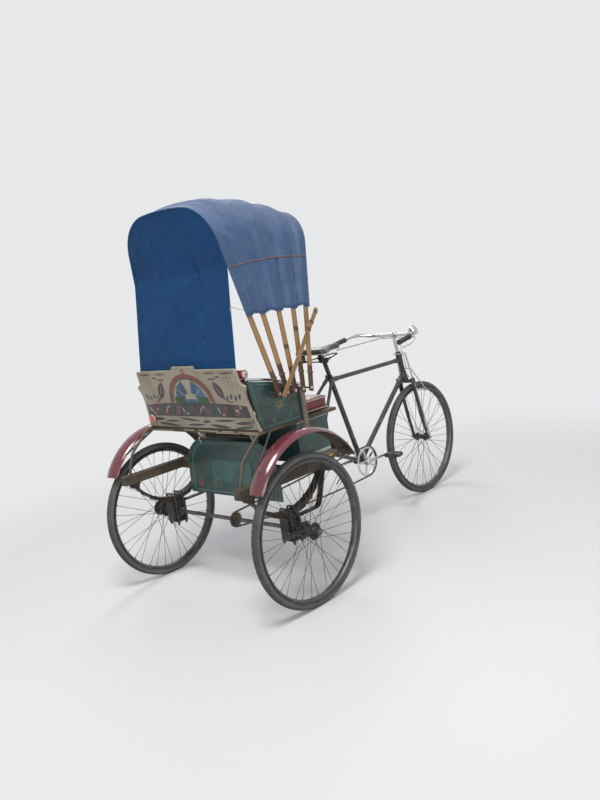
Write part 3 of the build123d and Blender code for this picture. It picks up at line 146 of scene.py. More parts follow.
class Shape:
    """The points and faces of one piece. Flow is a place on the piece's own grain, for its material."""

    def __init__(self):
        self.points, self.flow, self.faces, self.paints = [], [], [], []
        self.paint = 0

    def add(self, points, faces, flow):
        first = len(self.points)
        self.points += [Vector(p) for p in points]
        self.flow += flow
        self.faces += [[first + i for i in face] for face in faces]
        self.paints += [self.paint] * len(faces)
        return self

    def loft(self, rings, closed=False, around=True):
        """Rows of faces between rings of equally many points, with both ends capped if rings are round."""
        n, count = len(rings[0]), len(rings)
        faces, flow, run = [], [], 0.0
        for i in range(count if closed else count - 1):
            for j in range(n if around else n - 1):
                k, m = (i + 1) % count * n, (j + 1) % n
                faces.append([i * n + j, i * n + m, k + m, k + j])
        if around and not closed:
            faces += [list(range(n))[::-1], [(count - 1) * n + j for j in range(n)]]
        shift = 0.37 * (len(self.points) % 97)
        for i, ring in enumerate(rings):
            run += (Vector(ring[0]) - Vector(rings[max(i - 1, 0)][0])).length
            width = 0.0
            for j, p in enumerate(ring):
                width += (Vector(p) - Vector(ring[max(j - 1, 0)])).length
                flow.append(Vector((run + shift, width, 0)))
        return self.add([p for ring in rings for p in ring], faces, flow)

    def tube(self, path, radius, sides=10, closed=False, flat=1.0):
        """A round bar along a path. Radius is a number, or one for each point."""
        path = [Vector(p) for p in path]
        radii = radius if isinstance(radius, (list, tuple)) else [radius] * len(path)
        n, side, rings = len(path), None, []
        for i, p in enumerate(path):
            before = path[i - 1] if i or closed else p
            after = path[(i + 1) % n] if i < n - 1 or closed else p
            run = (after - before).normalized()
            side = square_to(run)[0] if side is None else (side - run * side.dot(run)).normalized()
            up = run.cross(side) * flat
            rings.append([p + (side * cos(t) + up * sin(t)) * radii[i] for t in turns(sides)])
        return self.loft(rings, closed)

    def lathe(self, profile, centre, axis=Y, steps=32, closed=False):
        """A profile of (radius, offset along the axis), turned about the axis."""
        centre, axis = Vector(centre), Vector(axis).normalized()
        side, other = square_to(axis)
        rings = [[centre + axis * o + (side * cos(t) + other * sin(t)) * r for t in turns(steps)]
                 for r, o in profile]
        return self.loft(rings, closed)

    def prism(self, outline, origin, u, v, depth):
        """An outline of (along u, along v), made solid to both sides of its plane."""
        origin, u, v = Vector(origin), Vector(u).normalized(), Vector(v).normalized()
        out, n = u.cross(v) * depth / 2, len(outline)
        points = [origin + u * a + v * b + out * s for s in (-1, 1) for a, b in outline]
        flow = [Vector((a, b, s * depth / 2)) for s in (-1, 1) for a, b in outline]
        faces = [list(range(n))[::-1], list(range(n, 2 * n))]
        faces += [[i, (i + 1) % n, n + (i + 1) % n, n + i] for i in range(n)]
        return self.add(points, faces, flow)

    def bar(self, start, end, width, height, up=Z, taper=1.0):
        """A squared bar along a line, with its width across the line and its height along up."""
        start, end = Vector(start), Vector(end)
        run = end - start
        side = Vector(up).cross(run).normalized()
        top = run.normalized().cross(side)
        shift = Vector((0.31 * (len(self.points) % 89), 0.13 * (len(self.points) % 71), 0))
        points, flow = [], []
        for along, place, size in ((0, start, 0.5), (run.length, end, 0.5 * taper)):
            for w, h in ((-width, -height), (width, -height), (width, height), (-width, height)):
                points.append(place + side * w * size + top * h * size)
                flow.append(Vector((along, w / 2, h / 2)) + shift)
        faces = [(3, 2, 1, 0), (4, 5, 6, 7)] + [(i, (i + 1) % 4, 4 + (i + 1) % 4, 4 + i) for i in range(4)]
        return self.add(points, faces, flow)

    def block(self, x0, x1, y0, y1, z0, z1):
        """A squared block from its six bounds, with its grain along its longest side."""
        x, y, z = (x0 + x1) / 2, (y0 + y1) / 2, (z0 + z1) / 2
        longest = max(abs(x1 - x0), abs(y1 - y0), abs(z1 - z0))
        if longest == abs(x1 - x0):
            return self.bar((x0, y, z), (x1, y, z), abs(y1 - y0), abs(z1 - z0))
        if longest == abs(y1 - y0):
            return self.bar((x, y0, z), (x, y1, z), abs(x1 - x0), abs(z1 - z0))
        return self.bar((x, y, z0), (x, y, z1), abs(y1 - y0), abs(x1 - x0), X)

    def bolt(self, at, axis, size=0.007, height=0.005):
        """A hexagon head on a washer."""
        self.lathe([(size * 1.45, -0.0003), (size * 1.45, 0.0012)], at, axis, 16)
        return self.lathe([(size, 0.001), (size, height * 0.8), (size * 0.84, height)], at, axis, 6)

    def stud(self, at, axis, size=0.004):
        """A domed rivet or nail."""
        profile = [(size, -0.0002), (size * 0.86, size * 0.4), (size * 0.45, size * 0.62)]
        return self.lathe(profile, at, axis, 10)

    def join(self, other):
        """Takes over the points and faces of another shape."""
        first = len(self.points)
        self.points += other.points
        self.flow += other.flow
        self.faces += [[first + i for i in face] for face in other.faces]
        self.paints += other.paints
        return self

    def mirror(self):
        """The same again on the other side of the vehicle."""
        first = len(self.points)
        self.points += [sideways(p) for p in self.points]
        self.flow += [f + Vector((5.3, 0, 0)) for f in self.flow]
        self.faces += [[first + i for i in reversed(face)] for face in self.faces]
        self.paints += list(self.paints)
        return self


def make(name, shape, body, looks, replaces=(), bevel=0.0, sharp=35, thick=0.0, subdivide=0):
    """An object of a shape, on a body, standing for CAD nodes."""
    mesh = bpy.data.meshes.new(name)
    mesh.from_pydata([(p.x - ORIGIN_X, p.y, p.z) for p in shape.points], [], shape.faces)
    for look in looks if isinstance(looks, (list, tuple)) else [looks]:
        mesh.materials.append(look)
    mesh.polygons.foreach_set("material_index", shape.paints)
    mesh.polygons.foreach_set("use_smooth", [True] * len(shape.faces))
    flow = mesh.attributes.new("flow", "FLOAT_VECTOR", "POINT")
    flow.data.foreach_set("vector", [v for f in shape.flow for v in f])
    if not thick:
        closed = bmesh.new()
        closed.from_mesh(mesh)
        bmesh.ops.recalc_face_normals(closed, faces=closed.faces)
        closed.to_mesh(mesh)
        closed.free()
    if not bevel:
        mesh.set_sharp_from_angle(angle=radians(sharp))
    obj = bpy.data.objects.new(name, mesh)
    bpy.context.scene.collection.objects.link(obj)
    if subdivide:
        modifier = obj.modifiers.new("subdivide", "SUBSURF")
        modifier.levels = modifier.render_levels = subdivide
    if thick:
        modifier = obj.modifiers.new("thick", "SOLIDIFY")
        modifier.thickness = thick
        modifier.offset = 0
    if bevel:
        modifier = obj.modifiers.new("bevel", "BEVEL")
        modifier.width, modifier.segments, modifier.harden_normals = bevel, 2, True
    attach(obj, body)
    if replaces:
        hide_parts(*replaces)
    return obj


def feed(tree, socket, value):
    """Links a socket to another one, or sets its value."""
    if isinstance(value, bpy.types.NodeSocket):
        tree.links.new(value, socket)
    else:
        socket.default_value = value


def add_node(tree, kind, *inputs, **values):
    """A shader node, with its first inputs in order and the others, or its settings, by name."""
    node = tree.nodes.new(kind)
    for socket, value in zip(node.inputs, inputs):
        feed(tree, socket, value)
    for key, value in values.items():
        if key in node.inputs:
            feed(tree, node.inputs[key], value)
        else:
            setattr(node, key, value)
    return node


class Look:
    """A procedural material: two colours in patches, dust, uneven gloss and a fine grain."""

    def __init__(self, name, rough, metal=0.0, coat=0.0, sheen=0.0, place="Object", stretch=(1, 1, 1)):
        self.material = bpy.data.materials.new(name)
        self.material.use_nodes = True
        self.tree = self.material.node_tree
        self.bsdf = self.tree.nodes["Principled BSDF"]
        self.bsdf.inputs["Metallic"].default_value = metal
        self.bsdf.inputs["Coat Weight"].default_value = coat
        self.bsdf.inputs["Coat Roughness"].default_value = 0.15
        self.bsdf.inputs["Sheen Weight"].default_value = sheen
        if place == "flow":
            source = self.node("ShaderNodeAttribute", attribute_name="flow").outputs["Vector"]
        else:
            source = self.node("ShaderNodeTexCoord").outputs["Object"]
        self.place = self.node("ShaderNodeMapping", Vector=source, Scale=stretch).outputs["Vector"]
        self.rough = rough
        self.height = None

    def node(self, kind, *inputs, **values):
        return add_node(self.tree, kind, *inputs, **values)

    def noise(self, scale, detail=4.0, rough=0.6, warp=0.0):
        return self.node("ShaderNodeTexNoise", Vector=self.place, Scale=scale, Detail=detail,
                         Roughness=rough, Distortion=warp).outputs["Fac"]

    def span(self, value, low, high, to_low=0.0, to_high=1.0):
        """A value's range low to high, stretched to another."""
        return self.node("ShaderNodeMapRange", value, low, high, to_low, to_high).outputs[0]

    def mix(self, share, a, b):
        """A share of the way from one colour to another."""
        node = self.node("ShaderNodeMix", data_type="RGBA")
        for i, value in ((0, share), (6, a), (7, b)):
            feed(self.tree, node.inputs[i], (*value, 1) if isinstance(value, tuple) else value)
        return node.outputs[2]

    def sums(self, operation, a, b):
        """One value from two by a sum, a product or the like."""
        return self.node("ShaderNodeMath", a, b, operation=operation).outputs[0]

    def facing_up(self):
        """How far a face looks up, -1 to 1."""
        normal = self.node("ShaderNodeNewGeometry").outputs["Normal"]
        return self.node("ShaderNodeSeparateXYZ", Vector=normal).outputs["Z"]

    def raised(self, value, depth):
        """Adds a bump of a depth in metres."""
        height = self.sums("MULTIPLY", value, depth)
        self.height = height if self.height is None else self.sums("ADD", self.height, height)

    def done(self, colour, rough=None):
        self.tree.links.new(colour, self.bsdf.inputs["Base Color"])
        low, high = self.rough
        gloss = self.span(rough or self.noise(30), 0.35, 0.65, low, high)
        self.tree.links.new(gloss, self.bsdf.inputs["Roughness"])
        if self.height is not None:
            bump = self.node("ShaderNodeBump", Height=self.height, Distance=1.0, Strength=1.0)
            self.tree.links.new(bump.outputs["Normal"], self.bsdf.inputs["Normal"])
        return self.material


DUST = (0.30, 0.26, 0.21)


def painted(name, colour, other, rough=(0.3, 0.5), metal=0.0, coat=0.0, patch=9.0, share=(0.45, 0.65),
            grain=420.0, depth=0.00015, dust=0.0, chips=None, sheen=0.0):
    """Enamel, plating, rubber or leather: patches of a second colour, dust on top, and chips."""
    look = Look(name, rough, metal, coat, sheen)
    base = look.mix(look.span(look.noise(patch, 6), *share), colour, other)
    base = look.mix(look.span(look.noise(patch * 9, 3), 0.4, 0.75, 0, 0.35), base, other)
    if chips:
        spot = look.span(look.sums("MULTIPLY", look.noise(46, 8, 0.75), look.noise(5, 2)), 0.335, 0.35)
        base = look.mix(spot, base, chips)
    if dust:
        lying = look.span(look.facing_up(), -0.4, 0.9, 0.25, 1)
        lying = look.sums("MULTIPLY", lying, look.span(look.noise(14, 6, 0.7), 0.35, 0.7, 0.1, 1))
        base = look.mix(look.sums("MULTIPLY", lying, dust), base, DUST)
    look.raised(look.noise(grain, 2), depth)
    look.raised(look.noise(18, 3), depth * 4)
    return look.done(base)


def grained(name, colour, dark, rough=(0.4, 0.6), coat=0.0, tight=1.0, dust=0.15):
    """Timber or bamboo, with its fibres along the piece."""
    look = Look(name, rough, coat=coat, place="flow", stretch=(1.6, 55 * tight, 55 * tight))
    fibre = look.noise(1.6, 8, 0.7, 0.4)
    base = look.mix(look.span(fibre, 0.32, 0.68), dark, colour)
    wide = look.node("ShaderNodeMapping", Vector=look.place, Scale=(1.4, 0.05, 0.05)).outputs["Vector"]
    stain = look.node("ShaderNodeTexNoise", Vector=wide, Scale=2.2, Detail=5.0).outputs["Fac"]
    base = look.mix(look.span(stain, 0.45, 0.75, 0, 0.55), base, tuple(0.45 * v for v in dark))
    base = look.mix(look.span(stain, 0.5, 0.2, 0, dust), base, (0.42, 0.37, 0.30))
    look.raised(fibre, 0.0006)
    return look.done(base, fibre)


def woven(name, colour, faded, thread=0.0016, depth=0.00022, patch=3.0, fade=0.55, sheen=0.15, gloss=0.5):
    """Tarpaulin: flat woven strips, faded where the sky sees it, with dirt and small creases."""
    look = Look(name, (0.55, 0.75), sheen=sheen, place="flow")
    look.bsdf.inputs["Specular IOR Level"].default_value = gloss
    base = look.mix(look.span(look.noise(patch, 6, 0.65), 0.35, 0.7), colour, tuple(0.72 * v for v in colour))
    sky = look.span(look.facing_up(), 0.05, 0.8, 0.25, 1)
    base = look.mix(look.sums("MULTIPLY", sky, fade), base, faded)
    base = look.mix(look.span(look.noise(11, 7, 0.75), 0.58, 0.8, 0, 0.4), base, (0.16, 0.15, 0.14))
    for axis in ("X", "Y"):
        wave = look.node("ShaderNodeTexWave", Vector=look.place, Scale=0.5 / thread / pi, Distortion=0.0,
                         bands_direction=axis).outputs["Fac"]
        look.raised(wave, depth)
    look.raised(look.noise(24, 5, 0.6, 1.5), 0.0035)
    return look.done(base)


# Rubber and leather
RUBBER = painted("tyre_rubber", (0.038, 0.040, 0.045), (0.078, 0.078, 0.078), (0.75, 0.95), grain=900,
                 dust=0.22)
SIDEWALL = painted("tyre_sidewall", (0.076, 0.080, 0.089), (0.120, 0.120, 0.120), (0.7, 0.9), grain=700,
                   dust=0.22)
GRIP = painted("grip_rubber", (0.020, 0.020, 0.022), (0.05, 0.05, 0.05), (0.6, 0.85), dust=0.2)
LEATHER = painted("saddle_leather", (0.026, 0.019, 0.016), (0.060, 0.040, 0.028), (0.3, 0.55), coat=0.25,
                  patch=5, grain=620, depth=0.0003, dust=0.15)

# Metals
RIM_STEEL = painted("rim_steel", (0.125, 0.120, 0.115), (0.070, 0.058, 0.048), (0.3, 0.5), 0.7, dust=0.12)
SPOKE_STEEL = painted("spoke_steel", (0.115, 0.112, 0.108), (0.065, 0.055, 0.046), (0.35, 0.55), 0.7,
                      dust=0.08)
GREASE = painted("greasy_steel", (0.018, 0.019, 0.019), (0.040, 0.036, 0.031), (0.35, 0.7), 0.35, grain=260,
                 depth=0.0004, dust=0.10)
AXLE_STEEL = painted("axle_steel", (0.13, 0.12, 0.115), (0.065, 0.052, 0.042), (0.3, 0.5), 0.8, dust=0.2)
CHAIN_STEEL = painted("chain_steel", (0.075, 0.068, 0.062), (0.14, 0.095, 0.065), (0.35, 0.6), 0.75, dust=0.1)
SPRING_STEEL = painted("spring_steel", (0.024, 0.022, 0.021), (0.085, 0.050, 0.032), (0.4, 0.75), 0.45,
                       dust=0.22)
CHROME = painted("chrome", (0.60, 0.61, 0.63), (0.36, 0.34, 0.31), (0.08, 0.24), 1.0, grain=90, depth=0.00002,
                 dust=0.12, share=(0.55, 0.85))

# Enamels and paints
BLACK_ENAMEL = painted("black_enamel", (0.012, 0.013, 0.016), (0.026, 0.026, 0.029), (0.22, 0.42), coat=0.4,
                       grain=150, depth=0.00005, dust=0.12, chips=(0.13, 0.09, 0.065))
DUSTY_BLACK = painted("dusty_black", (0.018, 0.018, 0.019), (0.050, 0.040, 0.033), (0.5, 0.8), 0.2, dust=0.28,
                      chips=(0.12, 0.07, 0.045))
TEAL = painted("teal_enamel", (0.010, 0.066, 0.060), (0.016, 0.036, 0.033), (0.3, 0.5), coat=0.25, dust=0.14,
               chips=(0.11, 0.08, 0.055))
CREAM = painted("cream_enamel", (0.335, 0.295, 0.220), (0.25, 0.210, 0.150), (0.35, 0.6), coat=0.1, patch=6,
                dust=0.2, chips=(0.12, 0.09, 0.065))
MAROON = painted("maroon_enamel", (0.140, 0.009, 0.022), (0.085, 0.006, 0.015), (0.10, 0.22), coat=0.9,
                 patch=4, grain=60, depth=0.00004, dust=0.05)
UNDERSIDE = painted("fender_underside", (0.050, 0.022, 0.022), (0.075, 0.058, 0.045), (0.6, 0.85), dust=0.3)
PALE_TRIM = painted("pale_trim", (0.48, 0.46, 0.42), (0.28, 0.25, 0.21), (0.35, 0.55), coat=0.2, dust=0.2)
RED = painted("red_paint", (0.205, 0.034, 0.032), (0.12, 0.024, 0.022), (0.3, 0.5), coat=0.2, dust=0.1)
MATT = (0.35, 0.55)
PALE_TEAL = painted("pale_teal", (0.055, 0.150, 0.135), (0.030, 0.085, 0.076), MATT, dust=0.15)
PINK = painted("pink_paint", (0.27, 0.090, 0.100), (0.18, 0.055, 0.065), MATT, dust=0.12)
BLUE = painted("blue_paint", (0.040, 0.130, 0.215), (0.025, 0.075, 0.130), MATT, dust=0.1)
GREEN = painted("green_paint", (0.030, 0.075, 0.035), (0.018, 0.040, 0.022), MATT, dust=0.12)
YELLOW = painted("yellow_paint", (0.27, 0.180, 0.050), (0.18, 0.115, 0.032), MATT, dust=0.12)
CREAM_LIGHT = painted("cream_light", (0.40, 0.365, 0.285), (0.31, 0.270, 0.195), MATT, dust=0.12)
DARK_LEAF = painted("dark_leaf", (0.055, 0.050, 0.058), (0.030, 0.030, 0.036), MATT, dust=0.12)
REFLECTOR = painted("reflector_red", (0.70, 0.035, 0.020), (0.45, 0.02, 0.012), (0.05, 0.15), coat=1.0,
                    grain=700, depth=0.0004)

# Timber and bamboo
TIMBER = grained("timber", (0.088, 0.062, 0.038), (0.038, 0.027, 0.018), (0.55, 0.8), dust=0.18)
OCHRE = grained("ochre_timber", (0.56, 0.34, 0.075), (0.32, 0.16, 0.04), tight=0.6)
PALE_TIMBER = grained("pale_timber", (0.36, 0.30, 0.20), (0.19, 0.14, 0.085), (0.5, 0.75), dust=0.2)
BAMBOO = grained("bamboo", (0.36, 0.20, 0.052), (0.21, 0.100, 0.030), (0.25, 0.45), coat=0.25, tight=1.3)
BAMBOO_EDGE = grained("bamboo_edge", (0.13, 0.032, 0.018), (0.07, 0.017, 0.011), MATT, coat=0.15, tight=1.3)
BAMBOO_DARK = grained("bamboo_dark", (0.105, 0.055, 0.026), (0.045, 0.021, 0.012), (0.4, 0.65), tight=1.2)
CANE = grained("bent_cane", (0.120, 0.098, 0.062), (0.066, 0.052, 0.032), (0.45, 0.65), coat=0.1, tight=1.6)

# Cloth, vinyl and cord
VINYL = painted("seat_vinyl", (0.175, 0.013, 0.021), (0.110, 0.009, 0.014), (0.32, 0.5), coat=0.15, patch=4,
                grain=800, depth=0.00025, dust=0.08)
PIPING = painted("seat_piping", (0.42, 0.38, 0.30), (0.30, 0.25, 0.19), MATT, coat=0.1, patch=12, grain=700,
                 depth=0.0002, dust=0.2)
CURTAIN_BLUE = woven("curtain_tarpaulin", (0.002, 0.047, 0.150), (0.006, 0.062, 0.175), fade=0.3, sheen=0.03,
                     gloss=0.18)
HOOD_BLUE = woven("hood_tarpaulin", (0.028, 0.078, 0.175), (0.130, 0.165, 0.265), fade=0.65, sheen=0.08,
                  gloss=0.3)
SEAM = painted("hood_binding", (0.130, 0.062, 0.070), (0.070, 0.062, 0.090), (0.6, 0.8), patch=20, grain=900,
               depth=0.0003, sheen=0.2)
CORD = painted("lashing_cord", (0.16, 0.125, 0.090), (0.085, 0.062, 0.045), (0.7, 0.9), patch=60, grain=1500,
               depth=0.0004)
PALE_CORD = painted("pale_cord", (0.46, 0.44, 0.40), (0.26, 0.24, 0.21), (0.7, 0.9), patch=60, grain=1500,
                    depth=0.0004)

# Sizes shared with the CAD model
WHEELBASE, HALF_TRACK = 1.680, 0.535
WHEEL_R, RIM_R = 0.3555, 0.3085
SPOKES, SPOKE_LEAD = 36, radians(55)
HEAD_SLOPE, SEAT_SLOPE = radians(77), radians(72)
STEER_X = WHEELBASE - 0.008 / sin(HEAD_SLOPE)
HEAD_TOP_Z, HEAD_FOOT_Z = 0.905, 0.765
BB = Vector((1.055, 0, 0.365))
TUBE_R, TOP_TUBE_R, HEAD_R, STAY_R = 0.0145, 0.0127, 0.0166, 0.009
JOINT_X = 0.610
BAR_Z, SADDLE_CLAMP_Z, SADDLE_Z = 1.040, 1.000, 1.0463
CHAIN_Y, PITCH = -0.045, 0.0127
RING_TEETH, COG_TEETH = 44, 18
CRANK, CRANK_Y = 0.165, 0.059
SPRING_Y = 0.420
TIMBER_LOW, TIMBER_TOP = 0.575, 0.620
SEAT_Z, SEAT_TOP = 0.815, 0.830
RECLINE = radians(12.5)

REAR_AXLE, REAR_AXLE_BODY = Vector((0, 0, WHEEL_R)), "rear_axle_and_left_wheel"


def steer_point(z, ahead=0.0, y=0.0):
    """A point of the steering axis at a height, or ahead of it and square to it."""
    a = HEAD_SLOPE
    return Vector((STEER_X - (z - WHEEL_R) / tan(a) + ahead * sin(a), y, z + ahead * cos(a)))


def seat_point(z):
    """A point of the seat tube's axis at a height."""
    return Vector((BB.x - (z - BB.z) / tan(SEAT_SLOPE), 0, z))


def tyre(name, x, y, body):
    """A roadster tyre: three ribs, lugs at the shoulders, a pale ring on each wall and thick beads."""
    half = [(0.3555, 0), (0.3555, 0.0028), (0.3545, 0.0034), (0.3545, 0.0044), (0.3553, 0.0050),
            (0.3549, 0.0084), (0.3535, 0.0090), (0.3532, 0.0100), (0.3539, 0.0106), (0.3516, 0.0142),
            (0.3490, 0.0156), (0.3450, 0.0176), (0.3445, 0.0179), (0.3400, 0.0189), (0.3350, 0.0189),
            (0.3345, 0.0187), (0.3290, 0.0168), (0.3250, 0.0142), (0.3232, 0.0128), (0.3226, 0.0100)]
    steps, lug_every, lug_depth, pale_rows = 216, 3, 0.0013, (12, 13, 14)
    profile, rings = looped(half), []
    for r, o in profile:
        lug = 0.0105 < abs(o) < 0.0150
        ring = []
        for i, t in enumerate(turns(steps)):
            deep = r - (lug_depth if lug and i % lug_every == 0 else 0)
            ring.append((x + deep * cos(t), y + o, WHEEL_R + deep * sin(t)))
        rings.append(ring)
    shape = Shape().loft(rings, closed=True)
    for i in range(len(shape.faces)):
        row = i // steps
        shape.paints[i] = int(min(row, len(profile) - 1 - row) in pale_rows)
    make(name, shape, body, [RUBBER, SIDEWALL], [name], sharp=50)


def wheel(side, x, y, body, barrel, flange, flange_y, end_y):
    """A tyre, a rolled steel rim with nipples and a valve, and a spoked hub of given radii and offsets."""
    tyre(f"tyre_{side}", x, y, body)
    centre, rim, steel = Vector((x, y, WHEEL_R)), Shape(), Shape()
    rim.lathe(looped([(0.3212, 0), (0.3205, 0.0110), (0.3219, 0.0146), (0.3216, 0.0164), (0.3190, 0.0171),
                      (0.3155, 0.0168), (0.3125, 0.0128), (0.3096, 0.0088), (RIM_R, 0.0040)]),
              centre, Y, 108, closed=True)
    root, nipple = flange - 0.005, [(0.0030, 0.001), (0.0030, -0.003), (0.0021, -0.0045), (0.0019, -0.012)]
    for i, t in enumerate(turns(SPOKES)):
        out = 1 if i % 2 else -1
        lead = SPOKE_LEAD * (1 if i % 4 < 2 else -1)
        near = centre + Vector((root * cos(t + lead), out * flange_y, root * sin(t + lead)))
        far = centre + Vector((RIM_R * cos(t), out * 0.004, RIM_R * sin(t)))
        head = near + Y * out * (0.0042 if i % 4 in (0, 3) else -0.0042)
        steel.tube([head, near + (far - near) * 0.012, far], 0.00125, 6)
        steel.lathe([(0.0024, 0), (0.0024, 0.0012)], head, Y, 6)
        rim.lathe(nipple, far, far - near, 8)
    valve = centre + Vector((cos(0.6), 0, sin(0.6))) * 0.309
    rim.tube([valve, valve - (valve - centre) * 0.13], [0.0032, 0.0026], 8)
    make(f"rim_{side}_rolled", rim, body, RIM_STEEL, [f"rim_{side}"])

    half = [(barrel * 0.94, 0), (barrel, flange_y * 0.35), (barrel, flange_y - 0.006),
            (flange - 0.003, flange_y - 0.0022), (flange, flange_y - 0.001), (flange, flange_y + 0.001),
            (flange - 0.003, flange_y + 0.0022), (barrel * 1.02, flange_y + 0.004),
            (barrel * 0.92, flange_y + 0.007), (barrel * 0.84, end_y - 0.003), (barrel * 0.78, end_y)]
    hub = Shape().lathe(both_ends(half), centre, Y, 40)
    hub.lathe([(0.0045, 0), (0.0045, 0.004), (0.003, 0.006)], centre + Z * barrel * 0.92, Z, 10)
    make(f"hub_{side}", hub, body, GREASE, [f"spoked_hub_{side}"])
    make(f"spokes_{side}", steel, body, SPOKE_STEEL)


def wheels():
    """Two rear wheels on a turned axle with threaded ends and nuts, and the front wheel."""
    rear = dict(barrel=0.027, flange=0.040, flange_y=0.030, end_y=0.054)
    wheel("left", 0, HALF_TRACK, REAR_AXLE_BODY, **rear)
    wheel("right", 0, -HALF_TRACK, "right_wheel", **rear)
    wheel("front", WHEELBASE, 0, "front_wheel", barrel=0.0150, flange=0.025, flange_y=0.029, end_y=0.038)
    axle, radius, end, nut = Shape(), 0.010, 0.605, HALF_TRACK + 0.055
    thread = [(0.0098 - 0.0006 * (i % 2), nut - 0.001 + i * 0.001) for i in range(15)]
    half = [(radius, 0), (radius, 0.330), (0.0102, 0.331), (radius, 0.332), (radius, nut - 0.002), *thread,
            (0.0085, end)]
    axle.lathe(both_ends(half), REAR_AXLE, Y, 24)
    for out in (Y, -Y):
        axle.lathe([(0.019, nut), (0.019, nut + 0.002)], REAR_AXLE, out, 24)
        axle.lathe([(0.0168, nut + 0.002), (0.0168, nut + 0.009), (0.0148, nut + 0.010)], REAR_AXLE, out, 6)
        axle.lathe([(0.015, 0.372), (0.020, 0.373), (0.020, 0.384), (0.015, 0.385)], REAR_AXLE, out, 24)
    make("rear_axle_turned", axle, REAR_AXLE_BODY, AXLE_STEEL, ["rear_axle"])


def pitch_radius(teeth):
    """The radius at which a chain runs round a toothed ring."""
    return PITCH / (2 * sin(pi / teeth))


def toothed_ring(shape, centre, teeth, inner):
    """A flat toothed ring in the chain's plane."""
    tip, root = pitch_radius(teeth) + 0.0033, pitch_radius(teeth) - 0.0036
    flank = root + 0.0012
    tooth = ((-0.36, root), (-0.22, flank), (-0.08, tip), (0.08, tip), (0.22, flank), (0.36, root))
    outer, hole = [], []
    for i in range(teeth):
        for share, r in tooth:
            a = 2 * pi * (i + share) / teeth
            outer.append((r * cos(a), r * sin(a)))
            hole.append((inner * cos(a), inner * sin(a)))
    rings = [[(centre.x + a, CHAIN_Y + y, centre.z + b) for a, b in row]
             for row, y in ((outer, -0.0011), (outer, 0.0011), (hole, 0.0015), (hole, -0.0015))]
    return shape.loft(rings, closed=True)


def chain_path():
    """Points of the chain's pitch line, as (x, z): straight above, sagging below."""
    big, small, sag = pitch_radius(RING_TEETH), pitch_radius(COG_TEETH), 0.020
    rise = BB.z - WHEEL_R
    base = atan2(rise, BB.x)
    lift = asin((big - small) / hypot(BB.x, rise))
    top, low = base + lift, base - lift
    path = [(small * -sin(top), WHEEL_R + small * cos(top))]
    start, sweep = top + pi / 2, low - top - pi
    path += [(BB.x + big * cos(start + sweep * i / 60), BB.z + big * sin(start + sweep * i / 60))
             for i in range(61)]
    a, b = Vector(path[-1]), Vector((small * sin(low), WHEEL_R - small * cos(low)))
    for i in range(1, 41):
        t = i / 40
        path.append(a.lerp(b, t) - Vector((0, 4 * sag * t * (1 - t))))
    start, sweep = low - pi / 2, top - low - pi
    path += [(small * cos(start + sweep * i / 40), WHEEL_R + small * sin(start + sweep * i / 40))
             for i in range(1, 40)]
    return [Vector(p) for p in path]


def chain():
    """Roller chain: inner and outer plates by turns, with rollers and pin heads."""
    path = chain_path()
    path.append(path[0])
    marks = [0.0]
    for a, b in zip(path, path[1:]):
        marks.append(marks[-1] + (b - a).length)
    count = 2 * round(marks[-1] / PITCH / 2)
    pins, at = [], 0
    for i in range(count):
        want = marks[-1] * i / count
        while marks[at + 1] < want:
            at += 1
        share = (want - marks[at]) / (marks[at + 1] - marks[at])
        pins.append(path[at].lerp(path[at + 1], share))
    shape, plate_r, waist, thick = Shape(), 0.0041, 0.0030, 0.0011
    for i, (a, b) in enumerate(zip(pins, pins[1:] + pins[:1])):
        run = (b - a).normalized()
        half, outline = (b - a).length / 2, []
        for end, start in ((1, -pi / 2), (-1, pi / 2)):
            outline += [(end * half + plate_r * cos(start + pi * k / 5), plate_r * sin(start + pi * k / 5))
                        for k in range(6)]
            outline.append((0, end * waist))
        middle = (a + b) / 2
        for out in (1, -1):
            y = CHAIN_Y + out * (0.0036 if i % 2 else 0.0024)
            shape.prism(outline, (middle.x, y, middle.y), (run.x, 0, run.y), (-run.y, 0, run.x), thick)
        place = (a.x, CHAIN_Y, a.y)
        shape.lathe(both_ends([(0.0040, 0.0017)]), place, Y, 8)
        shape.lathe(both_ends([(0.0018, 0.0045)]), place, Y, 6)
    make("roller_chain", shape, "chassis", CHAIN_STEEL, ["chain"])


